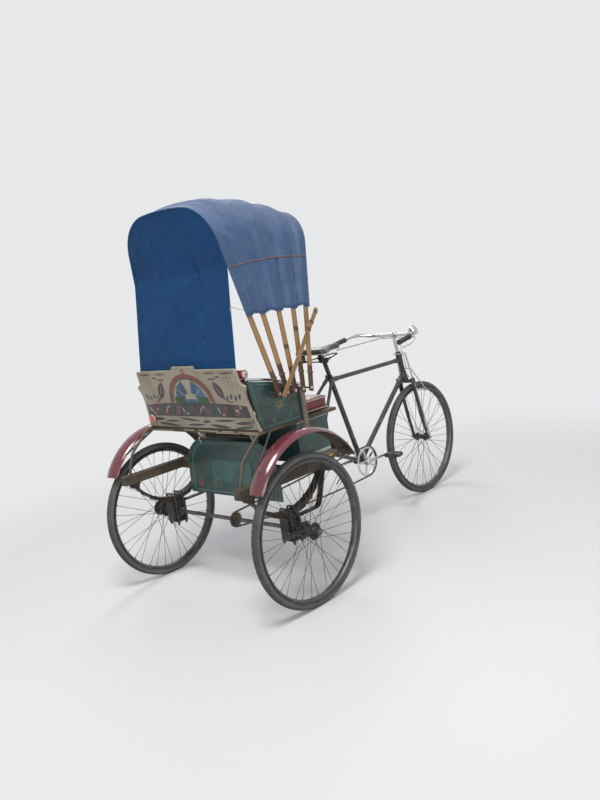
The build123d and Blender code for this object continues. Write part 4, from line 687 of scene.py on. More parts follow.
def pedal(name, x, side, body):
    """Two ribbed rubber blocks between end plates, on a spindle."""
    near = side * (CRANK_Y + 0.011)
    far = near + side * 0.092
    block_x, half, rib_half, rib_top, ribs = 0.023, 0.0105, 0.0098, 0.0119, 9
    rubber, steel = Shape(), Shape()
    for out in (1, -1):
        centre = x + out * block_x
        y0, y1 = sorted((near + side * 0.005, far - side * 0.005))
        rubber.block(centre - half, centre + half, y0, y1, BB.z - half, BB.z + half)
        for i in range(ribs):
            y = y0 + (i + 0.5) * (y1 - y0) / ribs
            for up in (1, -1):
                z = sorted((BB.z + up * half, BB.z + up * rib_top))
                rubber.block(centre - rib_half, centre + rib_half, y - 0.0030, y + 0.0030, *z)
        steel.tube([(centre, y0 - 0.004, BB.z), (centre, y1 + 0.004, BB.z)], 0.0028, 8)
    for y, way in ((near + side * 0.0022, -1), (far - side * 0.0022, 1)):
        outline = [((0.036 if abs(cos(t)) > 0.3 else 0.03) * cos(t), 0.0095 * sin(t)) for t in turns(20)]
        steel.prism(outline, (x, y, BB.z), X, Z, 0.0028)
        for out in (1, -1):
            steel.bolt((x + out * block_x, y + side * 0.0014 * way, BB.z), Y * side, 0.0042, 0.0035)
    spindle = [(0.0125, near), (0.0105, near + side * 0.02), (0.0090, near + side * 0.05),
               (0.0105, far - side * 0.012), (0.0125, far), (0.0105, far + side * 0.0035)]
    steel.lathe(spindle, (x, 0, BB.z), Y, 18)
    make(f"{name}_rubbers", rubber, body, GRIP, [name], bevel=0.0012)
    make(f"{name}_frame", steel, body, CHAIN_STEEL)


def crank(shape, side):
    """A tapered crank with bosses, a pedal spindle and a cotter pin."""
    y, reach, rings = side * CRANK_Y, -side * CRANK, []
    for share, tall, wide in ((0, 0.0145, 0.0068), (0.1, 0.0125, 0.0062), (0.5, 0.0098, 0.0056),
                              (0.93, 0.0088, 0.0052), (1, 0.0095, 0.0056)):
        x = BB.x + reach * share
        rings.append([(x, y + wide * cos(t), BB.z + tall * sin(t)) for t in turns(16, pi / 16)])
    shape.loft(rings)
    eye = BB + X * reach
    shape.lathe(both_ends([(0.0168, 0.005), (0.0150, 0.0068)], y), BB, Y, 24)
    shape.lathe(both_ends([(0.0128, 0.005), (0.0112, 0.0066)], y), eye, Y, 20)
    shape.lathe([(0.0058, y), (0.0054, side * 0.158)], eye, Y, 12)
    pin = BB + Y * y + X * side * 0.011
    shape.lathe([(0.0042, -0.017), (0.0042, 0.015), (0.0028, 0.016), (0.0028, 0.021)], pin, Z, 10)
    shape.lathe([(0.0060, 0.015), (0.0060, 0.019)], pin, Z, 6)


def drive():
    """Cottered cranks with a five-armed chainring, pedals, chain and freewheel."""
    cranks, arms = Shape(), 5
    toothed_ring(cranks, BB, RING_TEETH, 0.0755)
    for a in turns(arms, pi / arms):
        out, hub = Vector((cos(a), 0, sin(a))), BB + Y * CHAIN_Y
        cranks.bar(hub + out * 0.020, hub + out * 0.078, 0.017, 0.0026, Y, 0.62)
        cranks.bolt(hub + out * 0.079 - Y * 0.0012, -Y, 0.004, 0.003)
    cranks.lathe([(0.024, -0.054), (0.026, -0.047), (0.026, -0.043), (0.017, -0.040)], BB, Y, 32)
    cranks.lathe([(0.008, -0.066), (0.0078, 0.066)], BB, Y, 20)
    crank(cranks, 1)
    crank(cranks, -1)
    make("cottered_crankset", cranks, "cranks", CHROME, ["crankset"])
    pedal("pedal_left", BB.x - CRANK, 1, "left_pedal")
    pedal("pedal_right", BB.x + CRANK, -1, "right_pedal")
    chain()
    cog = Shape()
    toothed_ring(cog, REAR_AXLE, COG_TEETH, 0.0100)
    cog.lathe(both_ends([(0.0275, 0.003), (0.026, 0.009), (0.016, 0.010)], CHAIN_Y), REAR_AXLE, Y, 32)
    make("freewheel", cog, REAR_AXLE_BODY, CHAIN_STEEL, ["rear_sprocket"])


def sleeve(shape, start, end, radius, length, steps=20):
    """A lug: a thin sleeve on the end of a tube, with a feathered edge."""
    shape.lathe([(radius + 0.0022, 0), (radius + 0.0022, length * 0.8), (radius + 0.0016, length * 0.93),
                 (radius, length)], start, Vector(end) - Vector(start), steps)


def bicycle():
    """The roadster's lugged frame, from the head tube back to the passenger body."""
    roadster = Shape()
    lug, head_low, head_top = seat_point(0.905), steer_point(HEAD_FOOT_Z), steer_point(HEAD_TOP_Z)
    down, top_rear, top_front = steer_point(0.793), seat_point(0.881), steer_point(0.879)
    roadster.tube([BB, lug + (lug - BB).normalized() * 0.004], TUBE_R, 24)
    roadster.tube([head_low, head_top], HEAD_R, 24)
    roadster.tube([BB, down], TUBE_R, 24)
    roadster.tube([top_rear, top_front], TOP_TUBE_R, 24)
    for start, end, radius, near, far in ((BB, lug, TUBE_R, 0.055, 0.052), (BB, down, TUBE_R, 0.058, 0.068),
                                          (top_rear, top_front, TOP_TUBE_R, 0.062, 0.064)):
        sleeve(roadster, start, end, radius, near)
        sleeve(roadster, end, start, radius, far)
    ring = [(0.0192, -0.002), (0.0200, 0.001), (0.0192, 0.006), (0.0180, 0.048), (HEAD_R, 0.052)]
    for at, way in ((head_low, 1), (head_top, -1)):
        axis = (head_top - head_low).normalized() * way
        roadster.lathe(ring, at, axis, 24)
        roadster.lathe([(0.0150, -0.014), (0.0205, -0.012), (0.0210, -0.005), (0.0195, -0.002)], at, axis, 24)
    shell = both_ends([(0.0203, 0.026), (0.0210, 0.028), (0.0210, 0.034), (0.0185, 0.0345)])
    roadster.lathe(shell, BB, Y, 28)
    roadster.lathe([(0.0150, 0.0345), (0.0238, 0.036), (0.0238, 0.040), (0.0150, 0.041)], BB, Y, 12)
    ear = lug - X * 0.006
    roadster.tube([ear - Y * 0.021, ear + Y * 0.021], 0.0052, 12)
    roadster.bolt(ear + Y * 0.020, Y, 0.0055, 0.005)

    stays = Shape()
    low_stay = Vector((BB.x, 0.019, BB.z)), Vector((JOINT_X, 0.019, 0.556))
    high_stay = Vector((lug.x, 0.016, 0.893)), Vector((JOINT_X, 0.120, 0.590))
    for start, end in (low_stay, high_stay):
        stays.tube([start, end], STAY_R, 16)
        sleeve(stays, start, end, STAY_R, 0.045, 16)
        sleeve(stays, end, start, STAY_R, 0.030, 16)
    roadster.join(stays.mirror())
    for (start, end), share, half in ((low_stay, 0.16, 0.019), (high_stay, 0.42, 0.058)):
        bridge = start.lerp(end, share)
        bridge.y = 0
        roadster.tube([bridge - Y * half, bridge + Y * half], 0.0075, 12)
    make("roadster_frame", roadster, "chassis", BLACK_ENAMEL, ["bicycle_frame"])

    beam, beam_top, x0, x1 = Shape(), 0.603, JOINT_X - 0.014, JOINT_X + 0.014
    beam.block(x0, x1, -0.210, 0.210, 0.575, beam_top)
    beam.block(x0, x1, -0.040, 0.040, 0.545, 0.580)
    for y in (-0.200, -0.170, 0.170, 0.200):
        beam.bolt((JOINT_X, y, beam_top), Z, 0.006, 0.006)
    make("joining_beam", beam, "chassis", BLACK_ENAMEL, bevel=0.002)


def front_fork(axis):
    """The fork: a crown with tubes, curved blades with ends and axle nuts, and the headset."""
    crown, head_top, ahead = steer_point(0.742), steer_point(HEAD_TOP_Z), axis.cross(Y)
    fork = Shape().tube([crown, steer_point(0.933)], 0.0118, 20)
    for y in (-0.056, 0.056):
        fork.lathe([(0.010, -0.017), (0.0145, -0.014), (0.0150, 0.010), (0.0125, 0.0145), (0.008, 0.016)],
                   crown + Y * y, axis, 20)
    outline = [(0.062 * cos(t) * (1 if abs(cos(t)) < 0.8 else 0.96), 0.0165 * sin(t)) for t in turns(28)]
    fork.prism(outline, crown + axis * 0.001, Y, ahead, 0.024)
    fork.lathe([(0.0185, 0.010), (0.0215, 0.012), (0.0215, 0.017), (0.0190, 0.020)], crown, axis, 28)
    fork.lathe([(0.0195, 0.004), (0.0205, 0.006), (0.0205, 0.012), (0.0185, 0.014)], head_top, axis, 6)
    fork.lathe([(0.0170, 0.017), (0.0178, 0.018), (0.0178, 0.024), (0.0150, 0.026)], head_top, axis, 8)

    blade, foot, knee = Shape(), Vector((WHEELBASE, 0.052, WHEEL_R)), steer_point(0.740, y=0.052)
    bend = [foot.lerp(knee, share) - X * back
            for share, back in ((0, 0), (0.12, 0.002), (0.30, 0.006), (0.55, 0.004), (1, 0))]
    path = smooth_line(bend, 6)
    radii = [0.0078 + 0.0034 * smooth_step(0, 0.75, i / (len(path) - 1)) for i in range(len(path))]
    blade.tube(path, radii, 18)
    blade.prism([(0.013 * cos(t), 0.016 * sin(t)) for t in turns(20)], foot, X, Z, 0.006)
    blade.lathe([(0.0105, 0.003), (0.0105, 0.005)], foot, Y, 18)
    blade.lathe([(0.0088, 0.005), (0.0088, 0.012), (0.0076, 0.0135)], foot, Y, 6)
    blade.lathe([(0.0047, 0.0), (0.0045, 0.024)], foot, Y, 10)
    make("roadster_fork", fork.join(blade.mirror()), "steering", BLACK_ENAMEL, ["front_fork"])


def front_end():
    """Fork with its stays, handlebar, grips, bell and rod brake."""
    axis = (steer_point(HEAD_TOP_Z) - steer_point(0.742)).normalized()
    front_fork(axis)
    stays, bridge, stay_y = Shape(), steer_point(0.917), 0.068
    path = [(WHEELBASE, stay_y, WHEEL_R), (WHEELBASE - 0.004, stay_y, WHEEL_R + 0.03),
            (bridge.x + 0.026, 0.036, bridge.z - 0.012), (bridge.x + 0.020, 0.033, bridge.z)]
    stays.tube(rounded(path, 0.015), 0.0048, 12)
    stays.lathe(both_ends([(0.0085, 0.0015)]), (WHEELBASE, stay_y, WHEEL_R), Y, 16)
    stays.mirror()
    stays.prism([(-0.012, -0.034), (0.030, -0.042), (0.034, 0), (0.030, 0.042), (-0.012, 0.034), (-0.018, 0)],
                bridge, X, Y, 0.006)
    make("fork_stays", stays, "steering", CHROME)

    clamp = steer_point(BAR_Z)
    bar = Shape().tube([steer_point(0.925), clamp], 0.0111, 20)
    bar.lathe(both_ends([(0.0165, 0.023), (0.0145, 0.026)]), clamp, Y, 24)
    bar.bolt(clamp + axis * 0.014, axis, 0.0062, 0.008)
    points = [clamp, clamp + Y * 0.150, Vector((clamp.x - 0.070, 0.238, clamp.z + 0.020)),
              Vector((1.230, 0.250, 1.030))]
    bar.join(Shape().tube(rounded(points, 0.050, 10), 0.0110, 20).mirror())
    make("swept_handlebar", bar, "steering", CHROME, ["handlebar"])

    run = (points[2] - points[3]).normalized()
    rows = [(0.0155, 0.0), (0.0160, 0.004), (0.0150, 0.008)]
    for i in range(13):
        at = 0.010 + i * 0.0078
        rows += [(0.0136, at), (0.0148, at + 0.0016), (0.0148, at + 0.0048), (0.0136, at + 0.0064)]
    rows += [(0.0158, 0.114), (0.0166, 0.1165), (0.0158, 0.119), (0.0115, 0.1205)]
    grips = Shape().lathe(rows, points[3] - run * 0.006, run, 20)
    make("ribbed_grips", grips.mirror(), "steering", GRIP, ["handlebar_grips"])
    bar_bell(points[2], points[3])
    rod_brake()


def bar_bell(bend, end):
    """A domed bell on the right side of the bar, between its bend and its end."""
    bell_x, radius = 1.384, 0.029
    on_bar = sideways(end.lerp(bend, (bell_x - end.x) / (bend.x - end.x)))
    base = on_bar + Z * 0.022
    dome = [(0.0262, -0.001), (0.0285, -0.0022), (0.0296, -0.001), (0.0292, 0.001)]
    dome += [(radius * cos(radians(a)), radius * sin(radians(a))) for a in range(7, 86, 7)]
    bell = Shape().lathe(dome, base, Z, 36)
    bell.lathe([(0.0062, 0.0285), (0.0066, 0.030), (0.0046, 0.0325), (0.0020, 0.0335)], base, Z, 14)
    bell.lathe([(0.0265, -0.0055), (0.0265, -0.003), (0.005, -0.002)], base, Z, 28)
    bell.lathe([(0.0050, -0.0115), (0.0050, -0.004)], base, Z, 12)
    bell.lathe(both_ends([(0.0132, 0.006), (0.0118, 0.007)]), on_bar, sideways(bend - end), 20)
    lever = rounded([base - Z * 0.004 + X * 0.015, base - Z * 0.005 - X * 0.030,
                     base - X * 0.040 + Y * 0.010 - Z * 0.006], 0.008)
    bell.tube(lever, [0.0022] * 8 + [0.0042], 8)
    make("bell_dome", bell, "steering", CHROME, ["bell"])


def rod_brake():
    """The front brake: levers under the bar, a rod down the head and pads at the rim."""
    head, neck, clamp = steer_point(1.006, 0.044), steer_point(0.802, 0.044), steer_point(BAR_Z)
    grip, boss_y, stirrup_y = Vector((1.266, 0.250, 0.996)), 0.110, 0.030
    half = Shape()
    half.tube(rounded([head, head + Y * 0.140, (1.372, 0.230, 1.000), grip], 0.016), 0.0035, 10)
    half.lathe(both_ends([(0.0062, 0), (0.0056, 0.003), (0.0030, 0.005)]), grip, X, 12)
    half.lathe(both_ends([(0.0062, 0.004), (0.0055, 0.006)], boss_y), head, Y, 14)
    half.bar(clamp + Y * boss_y + (head - clamp).normalized() * 0.012, head + Y * boss_y, 0.008, 0.010, Z)
    half.lathe(both_ends([(0.0136, 0.006), (0.0122, 0.007)], boss_y), clamp, Y, 20)
    pad_r, pad_y, half_pad, tilt = 0.3007, 0.0155, 0.0135, radians(76)
    pad = Vector((WHEELBASE + pad_r * cos(tilt), 0, WHEEL_R + pad_r * sin(tilt)))
    half.tube(rounded([neck, neck + Y * stirrup_y, pad + Y * stirrup_y, pad + Y * 0.014], 0.010), 0.0035, 10)
    along = Vector((sin(tilt), 0, -cos(tilt))) * half_pad
    half.bar(pad + Y * pad_y - along, pad + Y * pad_y + along, 0.009, 0.009)
    half.bolt(pad + Y * stirrup_y, Y, 0.0048, 0.004)
    brake = Shape().join(half.mirror()).tube([head, neck], 0.0030, 10)
    for share in (0.10, 0.52, 0.93):
        brake.lathe(both_ends([(0.0060, 0.003), (0.0045, 0.005)]), head.lerp(neck, share), neck - head, 6)
    make("rod_brake", brake, "steering", CHROME, ["front_brake"])


def saddle_top(x):
    """The moulded leather with a pale rolled edge and nails."""
    rows = [(-0.128, 0.070, 0.010), (-0.122, 0.088, 0.024), (-0.104, 0.104, 0.034), (-0.070, 0.098, 0.033),
            (-0.030, 0.076, 0.030), (0.010, 0.046, 0.028), (0.050, 0.031, 0.029), (0.110, 0.023, 0.030),
            (0.128, 0.017, 0.024), (0.136, 0.008, 0.010)]
    rings, arch, thick = [], [pi * i / 24 for i in range(25)], 0.004
    for dx, half, height in smooth_line(rows, 4):
        ring, height = [], max(height, 0.006)
        for a in arch:
            dip = 1 - 0.16 * exp(-((a - pi / 2) / 0.35) ** 2) * smooth_step(0.06, -0.08, dx)
            rise = thick + height * (sin(a) ** 0.62) * dip
            ring.append((x + dx, half * cos(a) * (1 + 0.05 * sin(a)), SADDLE_Z + rise))
        for a in arch[::-1]:
            rise = 0.0005 + (height - thick) * sin(a) ** 0.62
            ring.append((x + dx * 0.985, (half - thick) * cos(a), SADDLE_Z + rise))
        rings.append(ring)
    rim = Shape()
    around = [Vector(r[0]) for r in rings] + [Vector(r[24]) for r in rings[::-1]]
    rim.tube([p + Z * 0.0005 for p in around], 0.0028, 8, closed=True)
    for i in range(9):
        a = radians(-64 + 16 * i)
        nail = (x - 0.098 - 0.020 * cos(a), 0.083 * sin(a), SADDLE_Z + 0.030 * cos(a * 0.8) + 0.002)
        rim.stud(nail, (-0.5, 0, 1), 0.0045)
    for y in (-0.009, 0.009):
        rim.stud((x + 0.118, y, SADDLE_Z + 0.030), (0.3, 0, 1), 0.0038)
    make("leather_saddle", Shape().loft(rings), "chassis", LEATHER, ["saddle"], sharp=50)
    make("saddle_edging", rim, "chassis", PALE_TRIM)


def saddle():
    """A sprung leather saddle on a wire frame with two coil springs, clamped to its post."""
    clamp = seat_point(SADDLE_CLAMP_Z)
    saddle_top(clamp.x)
    rear, nose, coil_y, coil_r, per_turn = clamp.x - 0.095, clamp.x + 0.105, 0.070, 0.0150, 20
    foot, coil = 1.004, []
    for i in range(5 * per_turn + 1):
        a = 2 * pi * i / per_turn
        coil.append((rear + coil_r * cos(a), coil_y + coil_r * sin(a), foot + 0.003 + 0.036 * i / 100))
    half = Shape().tube(coil, 0.0026, 8)
    for profile, steps in (([(0.0165, 0), (0.0165, 0.002)], 20), ([(0.0165, 0.0395), (0.0165, 0.0415)], 20),
                           ([(0.004, -0.003), (0.004, 0.041)], 10)):
        half.lathe(profile, (rear, coil_y, foot), Z, steps)
    rail = [(rear, 0, foot + 0.002), (rear, coil_y, foot + 0.002), (rear + 0.02, 0.072, foot + 0.001),
            (nose, 0.020, 1.022), (nose, 0, 1.022)]
    half.tube(rounded(rail, 0.016), 0.0036, 10)
    arm = [clamp + Y * 0.020, (clamp.x + 0.002, 0.034, 1.004), (clamp.x + 0.004, 0.047, 1.015)]
    half.tube(rounded(arm, 0.01), 0.0058, 10)
    half.lathe(both_ends([(0.0158, 0.003), (0.012, 0.005)], 0.021), clamp, Y, 16)
    half.bolt(clamp + Y * 0.025, Y, 0.0068, 0.006)
    steel = Shape().join(half.mirror()).tube([seat_point(0.835), clamp], 0.0124, 20)
    steel.lathe(both_ends([(0.0146, 0.024)]), clamp, Y, 20)
    make("saddle_springs", steel, "chassis", SPRING_STEEL, ["saddle_frame"])


def springs():
    """Leaf springs with clips and shackles, on black axle blocks held by U-bolts, and the radius straps."""
    half_span, rise, seat, thick, width = 0.235, 0.118, 0.418, 0.006, 0.044
    shares = (1.0, 0.78, 0.56, 0.36)
    bow = (half_span**2 + rise**2) / (2 * rise)
    centre_z = seat + len(shares) * thick - thick / 2 + bow
    sweep = asin(half_span / bow)
    leaves, hanger = Shape(), Shape()

    def on_bow(angle, depth, y):
        r = bow + depth
        return (r * sin(angle), SPRING_Y + y, centre_z - r * cos(angle))

    for i, share in enumerate(shares):
        rings = []
        for k in range(33):
            along = k / 16 - 1
            tip = 1 if i == 0 else 0.55 + 0.45 * smooth_step(1.0, 0.93, abs(along))
            w, low, high = width / 2 * tip, (i - 0.5) * thick + 0.0003, (i + 0.5) * thick - 0.0003
            section = ((high, -w + 0.001), (high, w - 0.001), (high - 0.0012, w), (low + 0.0012, w),
                       (low, w - 0.001), (low, -w + 0.001), (low + 0.0012, -w), (high - 0.0012, -w))
            rings.append([on_bow(sweep * share * along, d, y) for d, y in section])
        leaves.loft(rings)
    for out in (1, -1):
        outer = ((-0.005, -0.0235), (-0.005, 0.0235), (0.0155, 0.0235), (0.0155, -0.0235))
        inner = ((-0.0032, -0.0222), (-0.0032, 0.0222), (0.0150, 0.0222), (0.0150, -0.0222))
        clip = ((-0.018, outer), (0.018, outer), (0.018, inner), (-0.018, inner))
        rings = [[on_bow(out * sweep * 0.5 + shift, d, y) for d, y in row] for shift, row in clip]
        leaves.loft(rings, closed=True)
        eye = Vector((out * half_span, SPRING_Y, centre_z - bow * cos(sweep)))
        leaves.lathe([(0.0130, -0.0215), (0.0130, 0.0215), (0.0068, 0.0220), (0.0068, -0.0220)], eye, Y, 28,
                     closed=True)
        hanger.lathe(both_ends([(0.006, 0.030)]), eye, Y, 14)
        plate_r, plate_half, plate_top = 0.012, 0.017, TIMBER_LOW - eye.z - 0.004
        outline = [(-plate_r * cos(t), -plate_r * sin(t)) for t in turns(10, 0, pi)]
        outline += [(plate_r, 0), (plate_half, plate_top), (-plate_half, plate_top)]
        for side in (Y, -Y):
            hanger.prism(outline, eye + side * 0.0255, X, Z, 0.005)
            hanger.bolt(eye + side * 0.028, side, 0.0080, 0.0065)
        seat_y = SPRING_Y - 0.029, SPRING_Y + 0.029
        hanger.block(eye.x - 0.024, eye.x + 0.024, *seat_y, TIMBER_LOW - 0.005, TIMBER_LOW)
        for dx in (-0.018, 0.018):
            hanger.stud((eye.x + dx, SPRING_Y, TIMBER_TOP), Z, 0.007)
    top = seat + len(shares) * thick
    leaves.lathe([(0.0062, 0), (0.0062, 0.006), (0.0045, 0.0075)], (0, SPRING_Y, top), Z, 6)
    make("leaf_spring_stacks", leaves.mirror(), "chassis", SPRING_STEEL, ["leaf_springs"],
         sharp=30)
    make("spring_shackles", hanger.mirror(), "chassis", DUSTY_BLACK, ["spring_hangers"],
         bevel=0.0008)
    axle_blocks(seat, top)


def axle_blocks(seat, top):
    """The blocks with bearing caps between axle and springs, their U-bolts and the straps to the chassis."""
    low, block_half = WHEEL_R - 0.048, 0.027
    block = Shape().block(-0.046, 0.046, SPRING_Y - block_half, SPRING_Y + block_half, low, seat)
    make("timber_axle_blocks", block.mirror(), "chassis", GREASE, ["axle_blocks"],
         bevel=0.005)
    cap, profile = Shape(), [(0.0265, 0), (0.0265, 0.003), (0.017, 0.0055), (0.0125, 0.0055)]
    for way in (-1, 1):
        y = SPRING_Y + way * block_half
        cap.lathe(profile, (0, y, WHEEL_R), Y * way, 28)
        for dx, dz in ((-0.033, 0.028), (0.033, 0.028), (-0.033, -0.028), (0.033, -0.028)):
            cap.bolt((dx, y, WHEEL_R + dz), Y * way, 0.0055, 0.0045)
    make("bearing_caps", cap.mirror(), "chassis", GREASE)

    clamp, over, under = Shape(), top + 0.010, low - 0.022
    thread = [(0.0049 - 0.0005 * (i % 2), -0.014 - 0.001 * i) for i in range(10)]
    y0, y1 = SPRING_Y - 0.0325, SPRING_Y + 0.0325
    clamp.block(-0.034, 0.034, SPRING_Y - 0.038, SPRING_Y + 0.038, low - 0.006, low)
    for x in (-0.025, 0.025):
        path = [(x, y0, under), (x, y0, over), (x, y1, over), (x, y1, under)]
        clamp.tube(rounded(path, 0.012, 8), 0.0048, 12)
        for y in (y0, y1):
            clamp.lathe([(0.0088, -0.006), (0.0088, -0.0135), (0.0074, -0.0145)], (x, y, low), Z, 6)
            clamp.lathe(thread, (x, y, low), Z, 10)
    make("spring_u_bolts", clamp.mirror(), "chassis", DUSTY_BLACK, ["spring_clamps"],
         bevel=0.0007)

    strap, rings, strap_low, strap_high, across, half_thick = Shape(), [], 0.398, 0.5715, Y * 0.016, 0.0035
    path = rounded([(0.046, SPRING_Y, strap_low), (0.202, SPRING_Y, strap_low), (0.266, SPRING_Y, strap_high),
                    (0.292, SPRING_Y, strap_high)], 0.030, 8)
    for i, p in enumerate(path):
        up = Y.cross(run_at(path, i)) * -half_thick
        rings.append([p + across + up, p - across + up, p - across - up, p + across - up])
    strap.loft(rings)
    strap.bolt((0.062, SPRING_Y, strap_low + half_thick), Z, 0.008, 0.006)
    strap.bolt((0.279, SPRING_Y, strap_high - half_thick), -Z, 0.008, 0.006)
    make("radius_rod_straps", strap.mirror(), "chassis", DUSTY_BLACK, ["radius_straps"],
         bevel=0.001)


def underframe():
    """Timber ladder with ochre ends and angle iron rails under its side members."""
    ladder, half, cap, end = Shape(), 0.0225, 0.055, 0.295
    front_x, reach = end + 0.0003 + half, SPRING_Y + half
    for y in (-SPRING_Y, SPRING_Y):
        ladder.block(-end, end, y - half, y + half, TIMBER_LOW, TIMBER_TOP)
    for x, wide in ((0.085, 0.397), (front_x, reach - cap)):
        ladder.block(x - half, x + half, -wide, wide, TIMBER_LOW, TIMBER_TOP)
    ladder.paint = 1
    for y0, y1 in ((-reach, cap - reach), (reach - cap, reach)):
        ladder.block(front_x - half, front_x + half, y0, y1, TIMBER_LOW, TIMBER_TOP)
    ladder.paint = 2
    for y in (-SPRING_Y, SPRING_Y):
        for x in (-0.180, 0.085, 0.235, front_x):
            ladder.stud((x, y, TIMBER_TOP), Z, 0.008)
    make("timber_ladder", ladder, "chassis", [TIMBER, OCHRE, DUSTY_BLACK], ["timber_frame"],
         bevel=0.0025)

    rail, outer, size, wall = Shape(), 0.229, 0.038, 0.004
    outline = [(outer, TIMBER_LOW), (outer, TIMBER_LOW - size), (outer - wall, TIMBER_LOW - size),
               (outer - wall, TIMBER_LOW - wall), (outer - size, TIMBER_LOW - wall),
               (outer - size, TIMBER_LOW)]
    rail.loft([[(x, y, z) for y, z in outline] for x in (0.062, 0.622)])
    for x in (0.085, 0.318, 0.440, 0.540, 0.610):
        rail.bolt((x, outer - 0.022, TIMBER_LOW - wall), -Z, 0.006, 0.005)
        rail.bolt((x, outer, TIMBER_LOW - 0.020), Y, 0.0055, 0.0045)
    make("angle_iron_rails", rail.mirror(), "chassis", DUSTY_BLACK, ["chassis_rails"],
         bevel=0.0006, sharp=25)


def footboard():
    """Three planks with rows of nails, and an upright front board edged in pale metal."""
    floor, trim, wide = Shape(), Shape(), 0.345
    floor_top, lip_x, lip_z = TIMBER_LOW + 0.0145, 0.554, TIMBER_LOW + 0.046
    for x0, x1 in ((0.427, 0.4705), (0.4715, 0.515), (0.516, 0.548)):
        floor.block(x0, x1, -wide, wide, TIMBER_LOW, floor_top)
    floor.block(0.548, 0.560, -wide, wide, TIMBER_LOW, TIMBER_LOW + 0.0455)
    for i in range(11):
        for x in (0.442, 0.492, 0.535):
            trim.stud((x, -0.315 + i * 0.063, floor_top), Z, 0.0035)
    trim.bar((lip_x, -wide, lip_z), (lip_x, wide, lip_z), 0.014, 0.0012)
    trim.bar((lip_x + 0.0066, -wide, lip_z - 0.010), (lip_x + 0.0066, wide, lip_z - 0.010), 0.0010, 0.020)
    for i in range(9):
        trim.stud((0.5610, -0.32 + i * 0.08, lip_z - 0.010), X, 0.0030)
    make("planked_footboard", floor, "chassis", TIMBER, ["footboard"], bevel=0.0015)
    make("footboard_edging", trim, "chassis", PALE_TRIM)


def seat_base():
    """The painted box under the seat board, and the posts with a rail and hooks behind it."""
    box, x0, x1, w, t, inset = Shape(), 0.200, 0.425, 0.350, 0.012, 0.004
    for y0, y1 in ((w - t, w), (-w, t - w)):
        box.block(x0, x1, y0, y1, TIMBER_TOP, SEAT_Z)
    box.block(x0, x0 + t, -w + t, w - t, TIMBER_TOP, SEAT_Z)
    box.block(x1 - t, x1, -w + t, w - t, TIMBER_TOP, SEAT_Z)
    box.block(x0 + t, x1 - t, -w + t, w - t, TIMBER_TOP, TIMBER_TOP + t)
    box.paint = 1
    front = x1 + 0.0015
    for z in (TIMBER_TOP + 0.010, SEAT_Z - 0.012):
        box.bar((front, -w + inset, z), (front, w - inset, z), 0.003, 0.014)
        for y in (-w - 0.0012, w + 0.0012):
            box.bar((x0 + inset, y, z), (x1 - inset, y, z), 0.0024, 0.014)
    for y in (-w + 0.010, -0.117, 0.117, w - 0.010):
        box.bar((front, y, TIMBER_TOP + 0.017), (front, y, SEAT_Z - 0.019), 0.014, 0.003, X)
    for y in (-0.229, 0, 0.229):
        middle = Vector((x1 + 0.0006, y, (TIMBER_TOP + SEAT_Z) / 2))
        flower(box, middle, Y, Z, 0.066, (2, 3, 4))
        for out in (Y, -Y):
            leaf(box, middle + out * 0.070, out, Z, 0.030, 0.016, 5)
    make("painted_seat_box", box, "chassis", [TEAL, PALE_TRIM, RED, PINK, YELLOW, GREEN],
         ["seat_box"], bevel=0.0008)

    posts, post_y, rail_z = Shape(), 0.180, 0.757
    for y in (-post_y, post_y):
        posts.block(0.0635, 0.0885, y - 0.0125, y + 0.0125, TIMBER_TOP, SEAT_Z)
    posts.block(0.052, 0.066, -0.185, 0.185, 0.782, 0.803)
    posts.paint = 1
    posts.tube([(0.076, -post_y, rail_z), (0.076, post_y, rail_z)], 0.008, 14)
    hook = rounded([(0.058, 0.188, 0.810), (0.046, 0.205, 0.800), (0.052, 0.180, 0.770),
                    (0.050, 0.205, 0.742), (0.053, 0.190, 0.722)], 0.012, 6)
    posts.paint = 2
    posts.tube(hook, 0.0045, 10)
    posts.tube([sideways(p) for p in hook], 0.0045, 10)
    make("seat_post_frame", posts, "chassis", [PALE_TIMBER, DUSTY_BLACK, PALE_TRIM], ["seat_posts"],
         bevel=0.0015)


def leaf(shape, at, u, v, length, width, paint, lift=0.0008):
    """A pointed leaf of paint that stands a hair proud of a board. Its length is half its real one."""
    shape.paint = paint
    upper = [(-length + 2 * length * i / 8, width / 2 * sin(pi * i / 8) ** 0.8) for i in range(9)]
    shape.prism(above_and_below(upper), at, u, v, lift)


def disc(shape, at, u, v, radius, paint, lift=0.0008, start=0.0, sweep=2 * pi, inner=0.0):
    """A disc, a sector of one, or a ring of paint."""
    shape.paint = paint
    whole = sweep == 2 * pi
    angles = turns(max(8, int(28 * sweep / (2 * pi))), start, sweep)
    if not inner:
        angles += [] if whole else [start + sweep]
        outline = [(radius * cos(t), radius * sin(t)) for t in angles]
        shape.prism(outline if whole else outline + [(0, 0)], at, u, v, lift)
        return
    u, v = Vector(u).normalized(), Vector(v).normalized()
    out = u.cross(v) * lift / 2
    rings = [[Vector(at) + u * r * cos(t) + v * r * sin(t) + out * s for t in angles]
             for r, s in ((radius, -1), (radius, 1), (inner, 1), (inner, -1))]
    shape.loft(rings, closed=True)


def flower(shape, at, u, v, radius, paints, petals=8):
    """A plain rosette: a disc, petals round it and a centre."""
    u, v, at = Vector(u).normalized(), Vector(v).normalized(), Vector(at)
    out = u.cross(v) * 0.0004
    disc(shape, at, u, v, radius * 0.42, paints[0], 0.0009)
    for t in turns(petals, pi / petals):
        along, across = u * cos(t) + v * sin(t), u * -sin(t) + v * cos(t)
        petal = at + along * radius * 0.66 + out
        leaf(shape, petal, along, across, radius * 0.34, radius * 0.36, paints[1], 0.0010)
    disc(shape, at + out, u, v, radius * 0.20, paints[2], 0.0022)


